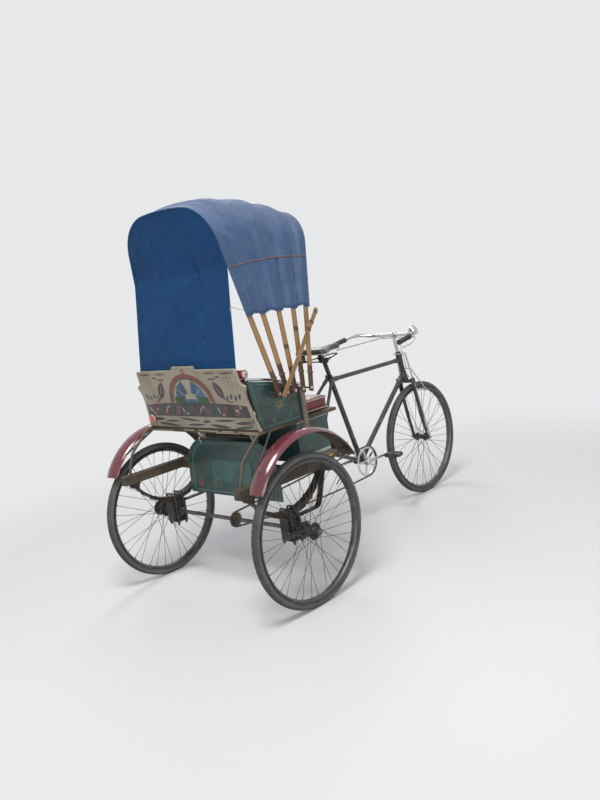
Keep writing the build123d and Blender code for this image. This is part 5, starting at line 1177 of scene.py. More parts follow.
def strip(shape, line, at, u, v, width, paint, lift=0.0009):
    """A painted line of a width along points (a, b) of a board."""
    shape.paint = paint
    u, v, at, line = Vector(u).normalized(), Vector(v).normalized(), Vector(at), [Vector(p) for p in line]
    out, rings = u.cross(v) * lift / 2, []
    for i, p in enumerate(line):
        run = run_at(line, i)
        side = Vector((-run.y, run.x)) * width / 2
        left, right = p + side, p - side
        rings.append([at + u * q.x + v * q.y + out * s
                      for q, s in ((left, -1), (left, 1), (right, 1), (right, -1))])
    shape.loft(rings)


BACK_UP = Vector((-sin(RECLINE), 0, cos(RECLINE)))
BACK_OUT = Vector((-cos(RECLINE), 0, -sin(RECLINE)))
BACK_FOOT = Vector((-0.076, 0, SEAT_TOP))


def back_board():
    """The board behind the seat with its beading, the battens below it and the round reflector beside it."""
    corners = [(0.402, 0.0008), (0.389, 0.060), (0.377, 0.135), (0.3755, 0.165), (0.379, 0.190)]
    half = smooth_line(corners, 6)
    half += [(0.392, 0.2170), (0.391, 0.2225), (0.380, 0.2290), (0.368, 0.2335), (0.364, 0.240),
             (0.3625, 0.270), (0.361, 0.298), (0.353, 0.3055), (0.082, 0.3070), (0.079, 0.310),
             (0.076, 0.3240), (0.070, 0.3250)]
    board = Shape().prism(both_halves(half), BACK_FOOT, Y, BACK_UP, 0.0155)
    make("back_board_panel", board, "chassis", CREAM, ["seat_back_board"], bevel=0.0022)
    back_board_ornament()

    edge, side_points = Shape(), 34
    for side in (Y, -Y):
        line = [BACK_FOOT + side * a + BACK_UP * b + BACK_OUT * 0.0078 for a, b in half[:side_points]]
        edge.tube(line, 0.0020, 6)
    make("back_board_beading", edge, "chassis", CREAM_LIGHT)

    battens, x, upper, lower = Shape(), -0.0938, 0.8262, 0.8192
    for start, end, z in ((-0.400, -0.262, upper), (-0.236, -0.150, upper), (-0.128, 0.020, upper),
                          (0.052, 0.128, upper), (-0.388, -0.300, lower), (-0.276, -0.110, lower),
                          (0.210, 0.392, lower)):
        battens.bar((x, start, z), (x, end, z + 0.0006), 0.0030, 0.0058)
    make("plank_battens", battens, "chassis", PALE_TIMBER)

    reflector, at = Shape(), Vector((-0.1010, 0.349, 0.881))
    reflector.lathe([(0.0215, -0.004), (0.0225, 0), (0.0225, 0.006), (0.0195, 0.0085)], at, -X, 28)
    reflector.paint = 1
    reflector.lathe([(0.0192, 0.0080), (0.0170, 0.0108), (0.0090, 0.0128), (0.0020, 0.0132)], at, -X, 28)
    make("rear_reflector", reflector, "chassis", [CHROME, REFLECTOR])


def back_board_ornament():
    """The board's paint: an arched fan, leaves at its sides, a band of leaves and strokes on a bare strip."""
    red, pink, blue, cream, green, _, maroon, dark, teal = range(9)
    art, u, v = Shape(), -Y, BACK_UP
    face = BACK_FOOT + BACK_OUT * 0.0079

    def on_face(a, b, lift=0.0):
        return face + u * a + v * b + BACK_OUT * lift

    # the arch: a wide red ring and two thin ones, then a fan of blue and cream over a green base
    base, legs = 0.152, 0.012
    for radius, width, paint in ((0.150, 0.020, red), (0.133, 0.006, green), (0.126, 0.005, cream)):
        line = [(radius * cos(t), base + radius * 0.86 * sin(t)) for t in turns(30, 0, pi)]
        line.append((-radius, base))
        if paint == red:
            line = [(radius * 1.03, base - legs), *line, (-radius * 1.03, base - legs)]
        strip(art, line, face, u, v, width, paint, 0.0012)
    for i, paint in enumerate((blue, blue, cream, blue, blue)):
        disc(art, on_face(0, base, 0.0002), u, v, 0.108, paint, 0.0010, pi * i / 5, pi / 5)
    for t in (pi / 5, 4 * pi / 5):
        ray = [(r * cos(t), base + r * sin(t)) for r in (0.046, 0.104)]
        strip(art, ray, face, u, v, 0.003, cream, 0.0030)
        disc(art, on_face(0.112 * cos(t), base + 0.112 * sin(t), 0.0010), u, v, 0.0060, pink)
    disc(art, on_face(0, base, 0.0012), u, v, 0.044, cream, 0.0010, 0, pi)
    strip(art, [(-0.122, base + 0.004), (0.122, base + 0.004)], face, u, v, 0.034, green, 0.0024)
    strip(art, [(-0.040, base + 0.001), (0.040, base + 0.001)], face, u, v, 0.018, blue, 0.0036)

    # a dark leaf each side of the arch, with a stem and small leaves on it
    for out in (1, -1):
        lean, across = u * out * 0.50 - v, v * 0.50 + u * out
        leaf(art, on_face(out * 0.213, 0.205), lean, across, 0.050, 0.048, dark)
        leaf(art, on_face(out * 0.213, 0.205, 0.0006), lean, across, 0.036, 0.014, maroon)
        stem = [(out * 0.232, 0.166), (out * 0.255, 0.150), (out * 0.288, 0.148)]
        strip(art, stem, face, u, v, 0.005, dark)
        for i, paint in enumerate((teal, dark, teal, dark)):
            at = on_face(out * (0.256 + 0.028 * i), 0.166 + 0.008 * (i % 2))
            leaf(art, at, u * out * 0.3 + v, u * out, 0.017, 0.015, paint)
        leaf(art, on_face(out * 0.188, 0.262), u * out, v, 0.030, 0.012, maroon)
        leaf(art, on_face(out * 0.232, 0.272), u * out, v, 0.018, 0.009, green)
        for i, paint in enumerate((pink, maroon, pink)):
            disc(art, on_face(out * (0.268 + 0.024 * i), 0.268), u, v, 0.0045, paint)

    # the band: a dark ground with leaves and buds
    art.paint = dark
    ground = [(-0.372, 0.070), (0.372, 0.070), (0.366, 0.128), (0.250, 0.137), (0.165, 0.141),
              (-0.165, 0.141), (-0.250, 0.137), (-0.366, 0.128)]
    art.prism(ground, face, u, v, 0.0010)
    for i in range(17):
        a, along = -0.344 + 0.043 * i, u * (0.35 if i % 2 else -0.35) + v
        leaf(art, on_face(a, 0.104, 0.0006), along, u, 0.026, 0.030, (maroon, green, teal, red, green)[i % 5])
        leaf(art, on_face(a, 0.104, 0.0012), along, u, 0.017, 0.008, (cream, dark, green)[i % 3])
        if i < 16:
            bud = on_face(a + 0.0215, 0.084 + 0.036 * (i % 2), 0.0006)
            disc(art, bud, u, v, 0.0058, (cream, red, maroon)[i % 3])
    for out in (1, -1):
        flower(art, on_face(out * 0.290, 0.106, 0.0008), u, v, 0.030, (green, red, cream), 6)

    # long uneven strokes on the strip below, a line at the foot, and a ring and leaves at the top
    strokes = ((-0.372, -0.255, 0.052, 0.016, dark), (-0.262, -0.145, 0.043, 0.012, green),
               (-0.330, -0.150, 0.024, 0.015, dark), (-0.140, 0.010, 0.053, 0.013, dark),
               (-0.100, 0.040, 0.026, 0.012, dark), (0.020, 0.085, 0.044, 0.014, green),
               (0.070, 0.215, 0.022, 0.016, dark), (0.110, 0.260, 0.052, 0.012, dark),
               (0.250, 0.372, 0.042, 0.016, dark), (0.235, 0.375, 0.019, 0.012, green))
    for start, end, height, wide, paint in strokes:
        middle, tilt = on_face((start + end) / 2, height), 0.10 * sin(60 * start)
        leaf(art, middle, u + v * tilt, v - u * tilt, (end - start) / 2, wide, paint)
    strip(art, [(-0.388, 0.006), (0.388, 0.006)], face, u, v, 0.008, dark)
    disc(art, on_face(0, 0.302), u, v, 0.0145, red, 0.0010, inner=0.0085)
    for out in (1, -1):
        leaf(art, on_face(out * 0.185, 0.291), u, v, 0.042, 0.010, maroon)
        leaf(art, on_face(out * 0.300, 0.290), u, v, 0.046, 0.009, dark)
    make("back_board_ornament", art, "chassis",
         [RED, PINK, BLUE, CREAM_LIGHT, GREEN, YELLOW, MAROON, DARK_LEAF, TEAL], sharp=25)


def tail_panel():
    """The painted sheet between the rear wheels, with a rolled edge and a blank plate."""
    sheet_x, shoulder_z = 0.0575, 0.590
    corners = [(0.332, 0.455), (0.331, 0.500), (0.326, 0.576)]
    for t in turns(8, radians(4), radians(82)) + [radians(86)]:
        corners.append((0.198 + 0.128 * cos(t), shoulder_z + 0.145 * sin(t)))
    outline = both_halves(corners + [(0.190, 0.735)])
    sheet = Shape().prism(outline, (sheet_x, 0, 0), Y, Z, 0.0030)
    sheet.tube([(sheet_x, a, b) for a, b in outline], 0.0038, 8, closed=True)
    make("tail_sheet", sheet, "chassis", TEAL, ["tail_panel"])

    teal, pale, green, pink, red, yellow = range(6)
    art, at = Shape(), Vector((0.0553, 0, 0))
    for size, width, paint in ((0.90, 0.009, pale), (0.84, 0.0045, teal)):
        line = [(-a * size, shoulder_z + (b - shoulder_z) * size) for a, b in outline]
        strip(art, line + line[:1], at, -Y, Z, width, paint, 0.0010)
    for side in (Y, -Y):
        for i in range(5):
            t = radians(70 - 20 * i)
            place = at + side * (0.235 + 0.010 * i) + Z * (0.640 - 0.026 * i)
            leaf(art, place, side * cos(t) + Z * sin(t), Z * cos(t) - side * sin(t), 0.020, 0.014, green)
        flower(art, at + side * 0.246 + Z * 0.505, -Y, Z, 0.026, (red, pink, yellow), 6)
    art.paint = pale
    art.block(0.0536, 0.0548, -0.150, 0.150, 0.520, 0.640)
    for y in (-0.138, 0.138):
        for z in (0.530, 0.630):
            art.stud((0.0537, y, z), -X, 0.0035)
    frame_line = [(-0.144, 0.526), (0.144, 0.526), (0.144, 0.634), (-0.144, 0.634), (-0.144, 0.526)]
    strip(art, frame_line, (0.0534, 0, 0), -Y, Z, 0.003, teal)
    make("tail_ornament", art, "chassis", [TEAL, PALE_TEAL, GREEN, PINK, RED, YELLOW], sharp=25)


def side_panels():
    """Painted sides under the armrests, with studded edges and posts, and the chromed armrest rails."""
    panel_y, face_y = 0.391, 0.3984
    outline = [(-0.0665, SEAT_TOP), (0.222, SEAT_TOP), (0.222, 0.968), (0.216, 0.979), (0.205, 0.984),
               (0.110, 1.013), (0.020, 1.0395), (-0.050, 1.052), (-0.1175, 1.066)]
    panel = Shape().prism(outline, (0, panel_y, 0), X, Z, 0.0135)
    make("side_panel_sheets", panel.mirror(), "chassis", TEAL, ["side_panels"], bevel=0.0015)

    pale, yellow, red, _, green, trim, dark = range(7)
    art, face, middle = Shape(), Vector((0, face_y, 0)), Vector((0.060, 0.925))
    for size, width, paint in ((0.88, 0.006, pale), (0.80, 0.003, dark)):
        inset = [middle + (Vector(p) - middle) * size for p in outline + outline[:1]]
        strip(art, inset, face, X, Z, width, paint)
    for i in range(8):
        leaf(art, face + X * (-0.058 + i * 0.036) + Z * 0.862, X, Z, 0.015, 0.022, (green, dark, pale)[i % 3])
    flower(art, face + X * 0.062 + Z * 0.928, X, Z, 0.044, (yellow, pale, red))
    for out in (X, -X):
        for i in range(3):
            place = face + X * 0.062 + out * (0.058 + 0.026 * i) + Z * (0.925 + 0.004 * i)
            leaf(art, place, out + Z * 0.3, Z - out * 0.3, 0.018, 0.012, green)
    art.paint = trim
    for i in range(10):
        art.stud((0.214, face_y, 0.842 + 0.013 * i), Y, 0.0028)
    make("side_ornament", art.mirror(), "chassis",
         [PALE_TEAL, YELLOW, RED, PINK, GREEN, PALE_TRIM, DARK_LEAF], sharp=25)

    post, post_out = Shape(), 0.4115
    post.block(0.200, 0.226, 0.4030, post_out, 0.775, 0.9775)
    post.paint = 1
    for z in (0.795, 0.850, 0.960):
        post.stud((0.213, post_out, z), Y, 0.0040)
    make("side_posts", post.mirror(), "chassis", [PALE_TIMBER, DUSTY_BLACK], bevel=0.0012)

    rails = Shape()
    line = [(x, panel_y, z) for x, z in ((-0.1135, 1.0745), (-0.050, 1.0615), (0.020, 1.0485), (0.110, 1.022),
                                         (0.2225, 0.9895))]
    rails.tube(smooth_line(line, 5), 0.0070, 14)
    for p in (line[0], line[-1]):
        rails.lathe(both_ends([(0.0080, 0), (0.0062, 0.0050), (0.002, 0.0078)]), p, X, 14)
    for x, z in ((-0.085, 1.056), (0.060, 1.022), (0.190, 0.985)):
        rails.lathe([(0.0045, 0), (0.0045, 0.012)], (x, panel_y, z), Z, 10)
    make("armrest_tubes", rails.mirror(), "chassis", CHROME, ["armrest_rails"])


def seat_planks():
    """The seat's two planks, with a nailed metal edge in front."""
    board, wide, edge_z = Shape(), 0.402, 0.8225
    for x0, x1 in ((-0.092, 0.170), (0.1705, 0.440)):
        board.block(x0, x1, -wide, wide, SEAT_Z, SEAT_TOP)
    board.paint = 1
    board.bar((0.4405, -wide, edge_z), (0.4405, wide, edge_z), 0.0012, 0.0145)
    for i in range(14):
        board.stud((0.4408, -0.390 + 0.06 * i, edge_z), X, 0.0028)
    make("seat_planks", board, "chassis", [TIMBER, PALE_TRIM], ["seat_board"], bevel=0.0012)


def fenders():
    """Crowned strips with rolled edges and a bead, over the rear wheels, on flattened stays."""
    centre, r = Vector((0.030, 0.530, 0.450)), 0.360
    shape, stay, steps = Shape(), Shape(), 72
    half = [(r + 0.0120, 0), (r + 0.0116, 0.008), (r + 0.0100, 0.018), (r + 0.0062, 0.030),
            (r - 0.0002, 0.040), (r - 0.0062, 0.0466), (r - 0.0080, 0.0478), (r - 0.0098, 0.0470),
            (r - 0.0098, 0.0452), (r - 0.0076, 0.0446), (r - 0.0025, 0.0396), (r + 0.0040, 0.0292),
            (r + 0.0080, 0.0176), (r + 0.0098, 0.008), (r + 0.0102, 0)]
    section, rings = above_and_below(half), []
    for i in range(steps + 1):
        t = radians(27 + 127 * i / steps)
        pinch = 1 - 0.10 * (1 - min(min(i, steps - i) / 3, 1)) ** 2
        rings.append([centre + Vector((a * cos(t), b * pinch, a * sin(t))) for a, b in section])
    shape.loft(rings)
    for f in range(len(shape.faces) - 2):
        shape.paints[f] = int(8 <= f % len(section) < len(section) - 8)
    for deg, foot in ((34, Vector((0.250, 0.4435, 0.600))), (138, Vector((-0.042, 0.4035, 0.8225)))):
        out = Vector((cos(radians(deg)), 0, sin(radians(deg))))
        tip = centre + out * (r + 0.010)
        path = [foot + Y * 0.003, foot + Y * 0.016, tip - Y * 0.030 - out * 0.010, tip]
        stay.tube(rounded(path, 0.014), 0.0050, 10)
        stay.lathe([(0.0085, 0), (0.0085, 0.0035)], foot, Y, 14)
        stay.bolt(foot + Y * 0.0035, Y, 0.0055, 0.004)
        stay.lathe([(0.0060, 0.0015), (0.0052, 0.0042), (0.0030, 0.0055)], tip + out * 0.0005, out, 10)
        pad = tip - out * 0.003
        stay.bar(pad - Y * 0.020, pad + Y * 0.020, 0.016, 0.003, out)
    make("crowned_fenders", shape.mirror(), "chassis", [MAROON, UNDERSIDE], ["fenders"],
         sharp=40)
    make("fender_stays", stay.mirror(), "chassis", DUSTY_BLACK)


def corner_struts():
    """A bent cane a side, bolted to the seat board's rear corner and standing on the side timber."""
    cane, nails, rings, y, edge_z = Shape(), Shape(), [], 0.4073, 0.8225
    corners = ((-0.0685, edge_z), (-0.110, edge_z), (-0.225, 0.725), (-0.255, 0.640), (-0.255, 0.6205))
    path = rounded([(x, y, z) for x, z in corners], 0.020, 8)
    section = [(0.0048 * cos(t) * (1.1 - 0.1 * abs(cos(t))), 0.0073 * sin(t)) for t in turns(16)]
    for i, p in enumerate(path):
        up = run_at(path, i).cross(Y).normalized()
        rings.append([p + Y * a + up * b for a, b in section])
    cane.loft(rings)
    for x in (-0.078, -0.090):
        nails.stud((x, 0.4118, edge_z), Y, 0.0038)
    make("bent_canes", cane.mirror(), "chassis", CANE, ["corner_struts"], sharp=50)
    make("cane_nails", nails.mirror(), "chassis", DUSTY_BLACK)


# Each hoop's body, its lean in degrees and its height above its pivot, from the rear to the front
HOOPS = (("rear_hoop", -9, 0.897), ("hoop_2", -4, 0.918), ("hoop_3", 4, 0.907), ("hoop_4", 11, 0.890),
         ("hoop_5", 16, 0.866))
FIRST_HOOP_X, HOOP_STEP_X = 0.035, 0.036
FIRST_HOOP_Y, HOOP_STEP_Y = 0.436, 0.016
HOOP_HALF_W, HOOP_HALF_T = 0.0155, 0.0022
LEAN_IN, CORNER, CROWN = radians(9), 0.200, radians(84)
PIVOT_Z = 0.980
COVER_OUT = 0.0046
HEM_Z = 1.345


def hoop_lean(i):
    """How far a hoop leans forward, as an angle."""
    return radians(HOOPS[i][1])


def hoop_pivot(i):
    """The middle of a hoop's pin."""
    return Vector((FIRST_HOOP_X + HOOP_STEP_X * i, 0, PIVOT_Z))


def hoop_base(i):
    """A hoop's distance from the middle at its pivot."""
    return FIRST_HOOP_Y + HOOP_STEP_Y * i


def hoop_half(i, offset, foot):
    """Half a hoop's outline, with its outward normals: ((y, up), (y, up)) from foot to the peak."""
    a, c, top = LEAN_IN, CROWN, HOOPS[i][2] + offset
    base, corner = hoop_base(i) + offset / cos(a), CORNER + offset
    left, right = base - corner * (cos(a) - cos(c)), top - corner * (sin(c) - sin(a))
    det = sin(a) * (1 - sin(c)) - cos(c) * cos(a)
    leg, crown = (left * (1 - sin(c)) - cos(c) * right) / det, (sin(a) * right - cos(a) * left) / det
    start, knee = Vector((base - foot * tan(a), foot)), Vector((base - leg * sin(a), leg * cos(a)))
    middle = knee - Vector((cos(a), sin(a))) * corner
    line = [(start.lerp(knee, t / 12), Vector((cos(a), sin(a)))) for t in range(12)]
    for centre, radius, angles in ((middle, corner, turns(14, a, c - a)),
                                   (Vector((0, top - crown)), crown, turns(12, c, pi / 2 - c) + [pi / 2])):
        out = [Vector((cos(angle), sin(angle))) for angle in angles]
        line += [(centre + n * radius, n) for n in out]
    return line


def hoop_whole(i, offset, foot):
    """A hoop's outline from foot to foot, with its outward normals."""
    half = hoop_half(i, offset, foot)
    return half + [(Vector((-p.x, p.y)), Vector((-n.x, n.y))) for p, n in half[-2::-1]]


def hoop_up(i):
    """The direction up along a hoop's plane."""
    return Vector((sin(hoop_lean(i)), 0, cos(hoop_lean(i))))


def hoop_ahead(i):
    """The direction forward out of a hoop's plane."""
    return Vector((cos(hoop_lean(i)), 0, -sin(hoop_lean(i))))


def in_hoop(i, y, up, forward=0.0):
    """The place of a point in a hoop's leaning plane, or in front of it."""
    return hoop_pivot(i) + hoop_up(i) * up + Y * y + hoop_ahead(i) * forward


def on_leg(i, side, up):
    """A point of a hoop's leg."""
    return in_hoop(i, side * (hoop_base(i) - up * tan(LEAN_IN)), up)


def tie(shape, at, along, across, wide, thick, count=3):
    """A cord wound round a flat bar a few times, with a knot and two ends."""
    radius, per_turn = 0.0012, 16
    along, across = along.normalized(), across.normalized()
    out, line = along.cross(across).normalized(), []

    def squared(value):
        return abs(value) ** 0.35 * (1 if value > 0 else -1)

    for i in range(count * per_turn + 1):
        a = 2 * pi * i / per_turn
        line.append(at + across * squared(cos(a)) * (wide / 2 + radius * 0.6)
                    + out * squared(sin(a)) * (thick / 2 + radius * 0.6)
                    + along * (i / per_turn - count / 2) * radius * 2.0)
    shape.tube(line, radius, 6)
    knot = at + out * (thick / 2 + radius)
    shape.lathe(both_ends([(0.0022, 0), (0.0019, 0.0014), (0.0008, 0.0026)]), knot, across, 10)
    for end in (across, -across):
        path = rounded([knot, knot + end * 0.006 - along * 0.004, knot + end * 0.008 - along * 0.013], 0.004)
        shape.tube(path, radius * 0.8, 6)


def bamboo_hoop(i):
    """A split bamboo hoop with growth rings, darker below and at its edges."""
    line, fine = hoop_whole(i, 0, -0.016), []
    for (p, n), (q, m) in zip(line, line[1:]):
        fine += [(p.lerp(q, t / 3), n.lerp(m, t / 3)) for t in range(3)]
    fine.append(line[-1])
    section = ((-0.78, -1), (0.78, -1), (0.95, -0.8), (1, -0.3), (1, 0.4), (0.9, 0.85), (0.5, 1), (-0.5, 1),
               (-0.9, 0.85), (-1, 0.4), (-1, -0.3), (-0.95, -0.8))
    edge_columns, spacing, ring_width = (2, 3, 8, 9, 10), 0.27, 0.007
    run, rings, marks = 0.0, [], []
    for k, (p, n) in enumerate(fine):
        run += (p - fine[max(k - 1, 0)][0]).length
        joint = exp(-((((run + 0.07 * i) % spacing) - spacing / 2) / ring_width) ** 2)
        half_w, half_t = HOOP_HALF_W + 0.0005 * joint, HOOP_HALF_T + 0.0006 * joint
        rings.append([in_hoop(i, *(p + n * t * half_t), w * half_w) for w, t in section])
        marks.append(p.y < 0.115 + 0.02 * (i % 2) or joint > 0.6)
    shape = Shape().loft(rings)
    for f in range(len(shape.faces) - 2):
        row, column = divmod(f, len(section))
        shape.paints[f] = 1 if column in edge_columns else 2 if marks[row] else 0
    return shape


def hoops():
    """Five hoops with ties, on pins through a plate a side, and the braces of the front one."""
    for i, (body, *_) in enumerate(HOOPS):
        make(f"bamboo_hoop_{i + 1}", bamboo_hoop(i), body, [BAMBOO, BAMBOO_EDGE, BAMBOO_DARK],
             [f"hood_hoop_{i + 1}"], sharp=60)
        cords, tie_up = Shape(), 0.072 + 0.012 * (i % 2)
        for side in (1, -1):
            at = on_leg(i, side, tie_up)
            along = (on_leg(i, side, tie_up + 0.1) - at) * side
            tie(cords, at, along, hoop_ahead(i) * side, 0.032, 0.006, 4)
        make(f"hoop_ties_{i + 1}", cords, body, CORD)

    plate, plate_y = Shape(), 0.4022
    corner = [(-0.018, -0.016), (-0.014, -0.020), (0.158, -0.020), (0.162, -0.016), (0.162, 0.010),
              (0.158, 0.014), (-0.014, 0.014), (-0.018, 0.010)]
    plate.prism(corner, (FIRST_HOOP_X, 0.4003, PIVOT_Z), X, Z, 0.0038)
    for i in range(len(HOOPS)):
        at, face = hoop_pivot(i), hoop_base(i) + 0.0025
        plate.lathe([(0.0040, 0.402), (0.0040, face + 0.003)], at, Y, 14)
        plate.lathe([(0.0072, plate_y), (0.0072, 0.4040), (0.0050, 0.4055)], at, Y, 6)
        plate.paint = 1
        plate.lathe([(0.0070, face + 0.0012), (0.0070, face + 0.0024), (0.0052, face + 0.0034)], at, Y, 16)
        plate.paint = 0
    for x in (0.026, 0.188):
        plate.stud((x, plate_y, PIVOT_Z + 0.006), Y, 0.0038)
    make("hoop_plates", plate.mirror(), "chassis", [DUSTY_BLACK, PALE_TRIM],
         ["hood_brackets"], bevel=0.0006)
    braces()


def braces():
    """A slat a side, pinned and lashed to the front hoop."""
    slat, cords, front, wide, pin_z = Shape(), Shape(), len(HOOPS) - 1, 0.0240, 1.2555
    foot, tip = Vector((0.020, 0.4740, 0.968)), Vector((0.318, 0.4740, 1.328))
    along = (tip - foot).normalized()
    square = along.cross(Y)
    slat.bar(foot, tip, 0.0048, 0.0235, square)
    cross = foot + along * ((pin_z - foot.z) / along.z)
    hoop_y = on_leg(front, 1, (pin_z - PIVOT_Z) / cos(hoop_lean(front))).y + 0.0026
    slat.paint = 1
    slat.lathe([(0.0095, hoop_y), (0.0095, 0.4718)], (cross.x, 0, cross.z), Y, 14)
    slat.stud((cross.x, 0.4764, cross.z), Y, 0.0046)
    for at, count in ((cross - along * 0.020, 4), (cross + along * 0.020, 4), (tip - along * 0.018, 3)):
        tie(cords, at, along, square, wide, 0.0052, count)
    make("brace_slats", slat.mirror(), HOOPS[front][0], [BAMBOO, PALE_TIMBER], ["hood_braces"],
         bevel=0.0010)
    make("brace_lashings", cords.mirror(), HOOPS[front][0], CORD)


def crease(*at):
    """A sharp ridge, 0 to 1, along the places where a noise passes through zero."""
    return max(0.0, 1 - 3.4 * abs(noise.noise(Vector(at)))) ** 2


# Places across a hoop at which the cover rests on it, and the columns of the cover from one hoop to the next
BAND = (-0.0185, -0.010, 0, 0.010, 0.0185)
SPAN = 10


def cover_columns():
    """The cover's columns from rear to front: (hoop, next hoop, share between them, place on the band)."""
    columns = []
    for i in range(len(HOOPS)):
        columns += [(i, i, 0.0, w) for w in BAND]
        if i + 1 < len(HOOPS):
            columns += [(i, i + 1, t / SPAN, 0.0) for t in range(1, SPAN)]
    return columns


def cover_point(column, row, lift, hem):
    """A point of the cover. It rests on the hoops, sags and folds between them, and its hem is drawn up."""
    i, j, t, w = column
    halves = []
    for k, edge in ((i, BAND[-1]), (j, BAND[0])):
        foot = (HEM_Z + 0.002 + hem - PIVOT_Z) / cos(hoop_lean(k))
        (y, up), n = hoop_whole(k, COVER_OUT + lift, foot)[row]
        halves.append((in_hoop(k, y, up, w if i == j else edge), Vector((0, n.x, n.y))))
    (a, out), (b, other) = halves
    if i == j:
        return a + out * (0.0006 if abs(w) > 0.015 else 0.0)
    p, out = a.lerp(b, t), out.lerp(other, t)
    slack, side = 4 * t * (1 - t), min(1, abs(out.y) * 1.3)
    p = p - out * slack * (0.007 + 0.007 * side)
    q, r = (p.x + p.z) * 0.7, (p.x - p.z) * 0.7
    wave = 0.0075 * crease(q * 7.5, r * 2.2, 3.1 + out.y) + 0.0050 * crease(q * 16 + 4, r * 4, 9.7 - out.y)
    wave += 0.0055 * (0.5 + 0.5 * sin(2 * pi * (t * 1.5 + 2.1 * p.z + i * 0.37))) * side
    return p + out * wave * min(1, slack * 1.6)


def cover_rows(columns, lift=0.0):
    """All points of the cover, column by column, with the hem drawn up between the hoops."""
    count, rows = len(hoop_whole(0, 0, 0.4)), []
    for column in columns:
        i, j, t = column[:3]
        drawn = 0.008 * sin(pi * t) ** 0.8 + 0.002 * sin(9 * t + 2 * i) * (4 * t * (1 - t)) if i != j else 0.0
        rows.append([cover_point(column, k, lift, drawn) for k in range(count)])
    return rows


def seam_ring(line):
    """The two edges of the seam on one column of the cover, at a height that bows up in the middle."""
    height = 1.556 + 0.030 * sin(pi * min(max((line[0].x + 0.10) / 0.50, 0), 1))
    at = next(k for k in range(len(line)) if line[k].z > height)
    below, above = line[at - 1], line[at]
    p = below.lerp(above, (height - below.z) / (above.z - below.z))
    way = (above - p).normalized() * 0.0040
    return [p - way, p + way]


def hood():
    """The blue tarpaulin over the hoops, with its bound edges and a seam a side."""
    columns = cover_columns()
    rows = cover_rows(columns)
    sheet = make("hood_tarpaulin", Shape().loft(rows, around=False), "rear_hoop", HOOD_BLUE,
                 ["hood_cover"], thick=0.0016, subdivide=1)
    edging, seam = Shape(), Shape()
    for row in (rows[0], rows[-1]):
        edging.tube(row, 0.0030, 8)
    for k in (0, -1):
        edging.tube([row[k] for row in rows], 0.0026, 8)
    edges = make("hood_edging", edging, "rear_hoop", HOOD_BLUE)
    raised = cover_rows(columns, 0.0014)
    for way, out in ((1, Y), (-1, -Y)):
        rings = [seam_ring(row[::way]) for row in raised]
        seam.loft(rings, around=False)
        for p, q in rings[2::3]:
            seam.stud((p + q) / 2, out, 0.0011)
    band = make("hood_seam", seam, "rear_hoop", SEAM, thick=0.0010)
    lean = hoop_lean(0)
    for obj in (sheet, edges, band):
        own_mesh(obj)


# The curtain: its foot, half its width there, the height from which it hangs free, and its rows and columns
CURTAIN_LOW, CURTAIN_LOW_X, CURTAIN_HALF, CURTAIN_HELD = 1.120, -0.1284, 0.350, 1.570
CURTAIN_WIDE, CURTAIN_TALL = 72, 84
# Its long creases: place across, lowest and highest place, depth and width
CREASES = ((-0.132, 1.30, 1.66, 0.0190, 0.017), (-0.150, 1.08, 1.32, 0.0170, 0.014))


def curtain_hoop():
    """The part of the rear hoop's outline that holds the curtain, as (y, z) from the side to the peak."""
    upright = cos(hoop_lean(0))
    half = hoop_half(0, -0.0005, (CURTAIN_HELD - PIVOT_Z) / upright)
    line = [(place.x, PIVOT_Z + place.y * upright) for place, _ in half]
    return [(y, z) for y, z in line if z >= CURTAIN_HELD - 0.001]


def curtain_top(hoop, y):
    """The height of the curtain's upper edge at a distance from the middle."""
    for (a, low), (b, high) in zip(hoop, hoop[1:]):
        if b <= abs(y) <= a:
            return low + (high - low) * (a - abs(y)) / max(a - b, 1e-6)
    return hoop[-1][1] if abs(y) < hoop[-1][0] + 1e-6 else CURTAIN_HELD


def curtain_x(z):
    """The sheet's middle: close behind the hoop above, then with a soft bend back to the board."""
    def behind(h):
        lean = hoop_lean(0)
        return FIRST_HOOP_X + (h - PIVOT_Z) * tan(lean) - 0.0183 / cos(lean)

    soft, down = 0.006, (z - CURTAIN_LOW) / (CURTAIN_HELD - CURTAIN_LOW)
    above, below = behind(z), CURTAIN_LOW_X + (behind(CURTAIN_HELD) - CURTAIN_LOW_X) * down
    return min(above, below) - max(soft - abs(above - below), 0) ** 2 / (4 * soft)


def curtain_point(hoop, share, k):
    """A point by its share of the width, -1 to 1, and its row from the foot to the top."""
    half_top = hoop[0][0]
    foot = CURTAIN_LOW + 0.0015 + 0.0030 * (0.5 + 0.5 * sin(17 * share * 0.35))
    z = foot + (curtain_top(hoop, half_top * share) - foot) * k / CURTAIN_TALL
    y = share * (half_top + (CURTAIN_HALF - half_top) * smooth_step(CURTAIN_HELD, CURTAIN_LOW, z))
    down = 1 - k / CURTAIN_TALL
    loose = smooth_step(0.03, 0.34, down) * (1 - 0.55 * smooth_step(0.82, 1.0, down))
    loose *= 1 - 0.75 * smooth_step(0.80, 1.0, abs(share))
    fold = 0.0024 * sin(13 * y + 0.8 * sin(2.6 * z)) + 0.0030 * noise.noise(Vector((y * 5, z * 1.1, 4.2)))
    for centre, low, top, depth, width in CREASES:
        reach = smooth_step(low, low + 0.10, z) * smooth_step(top, top - 0.12, z)
        fold -= depth * reach * exp(-((y - centre) / width) ** 2)
    return Vector((curtain_x(z) - 0.0010 - fold * loose, y, z))


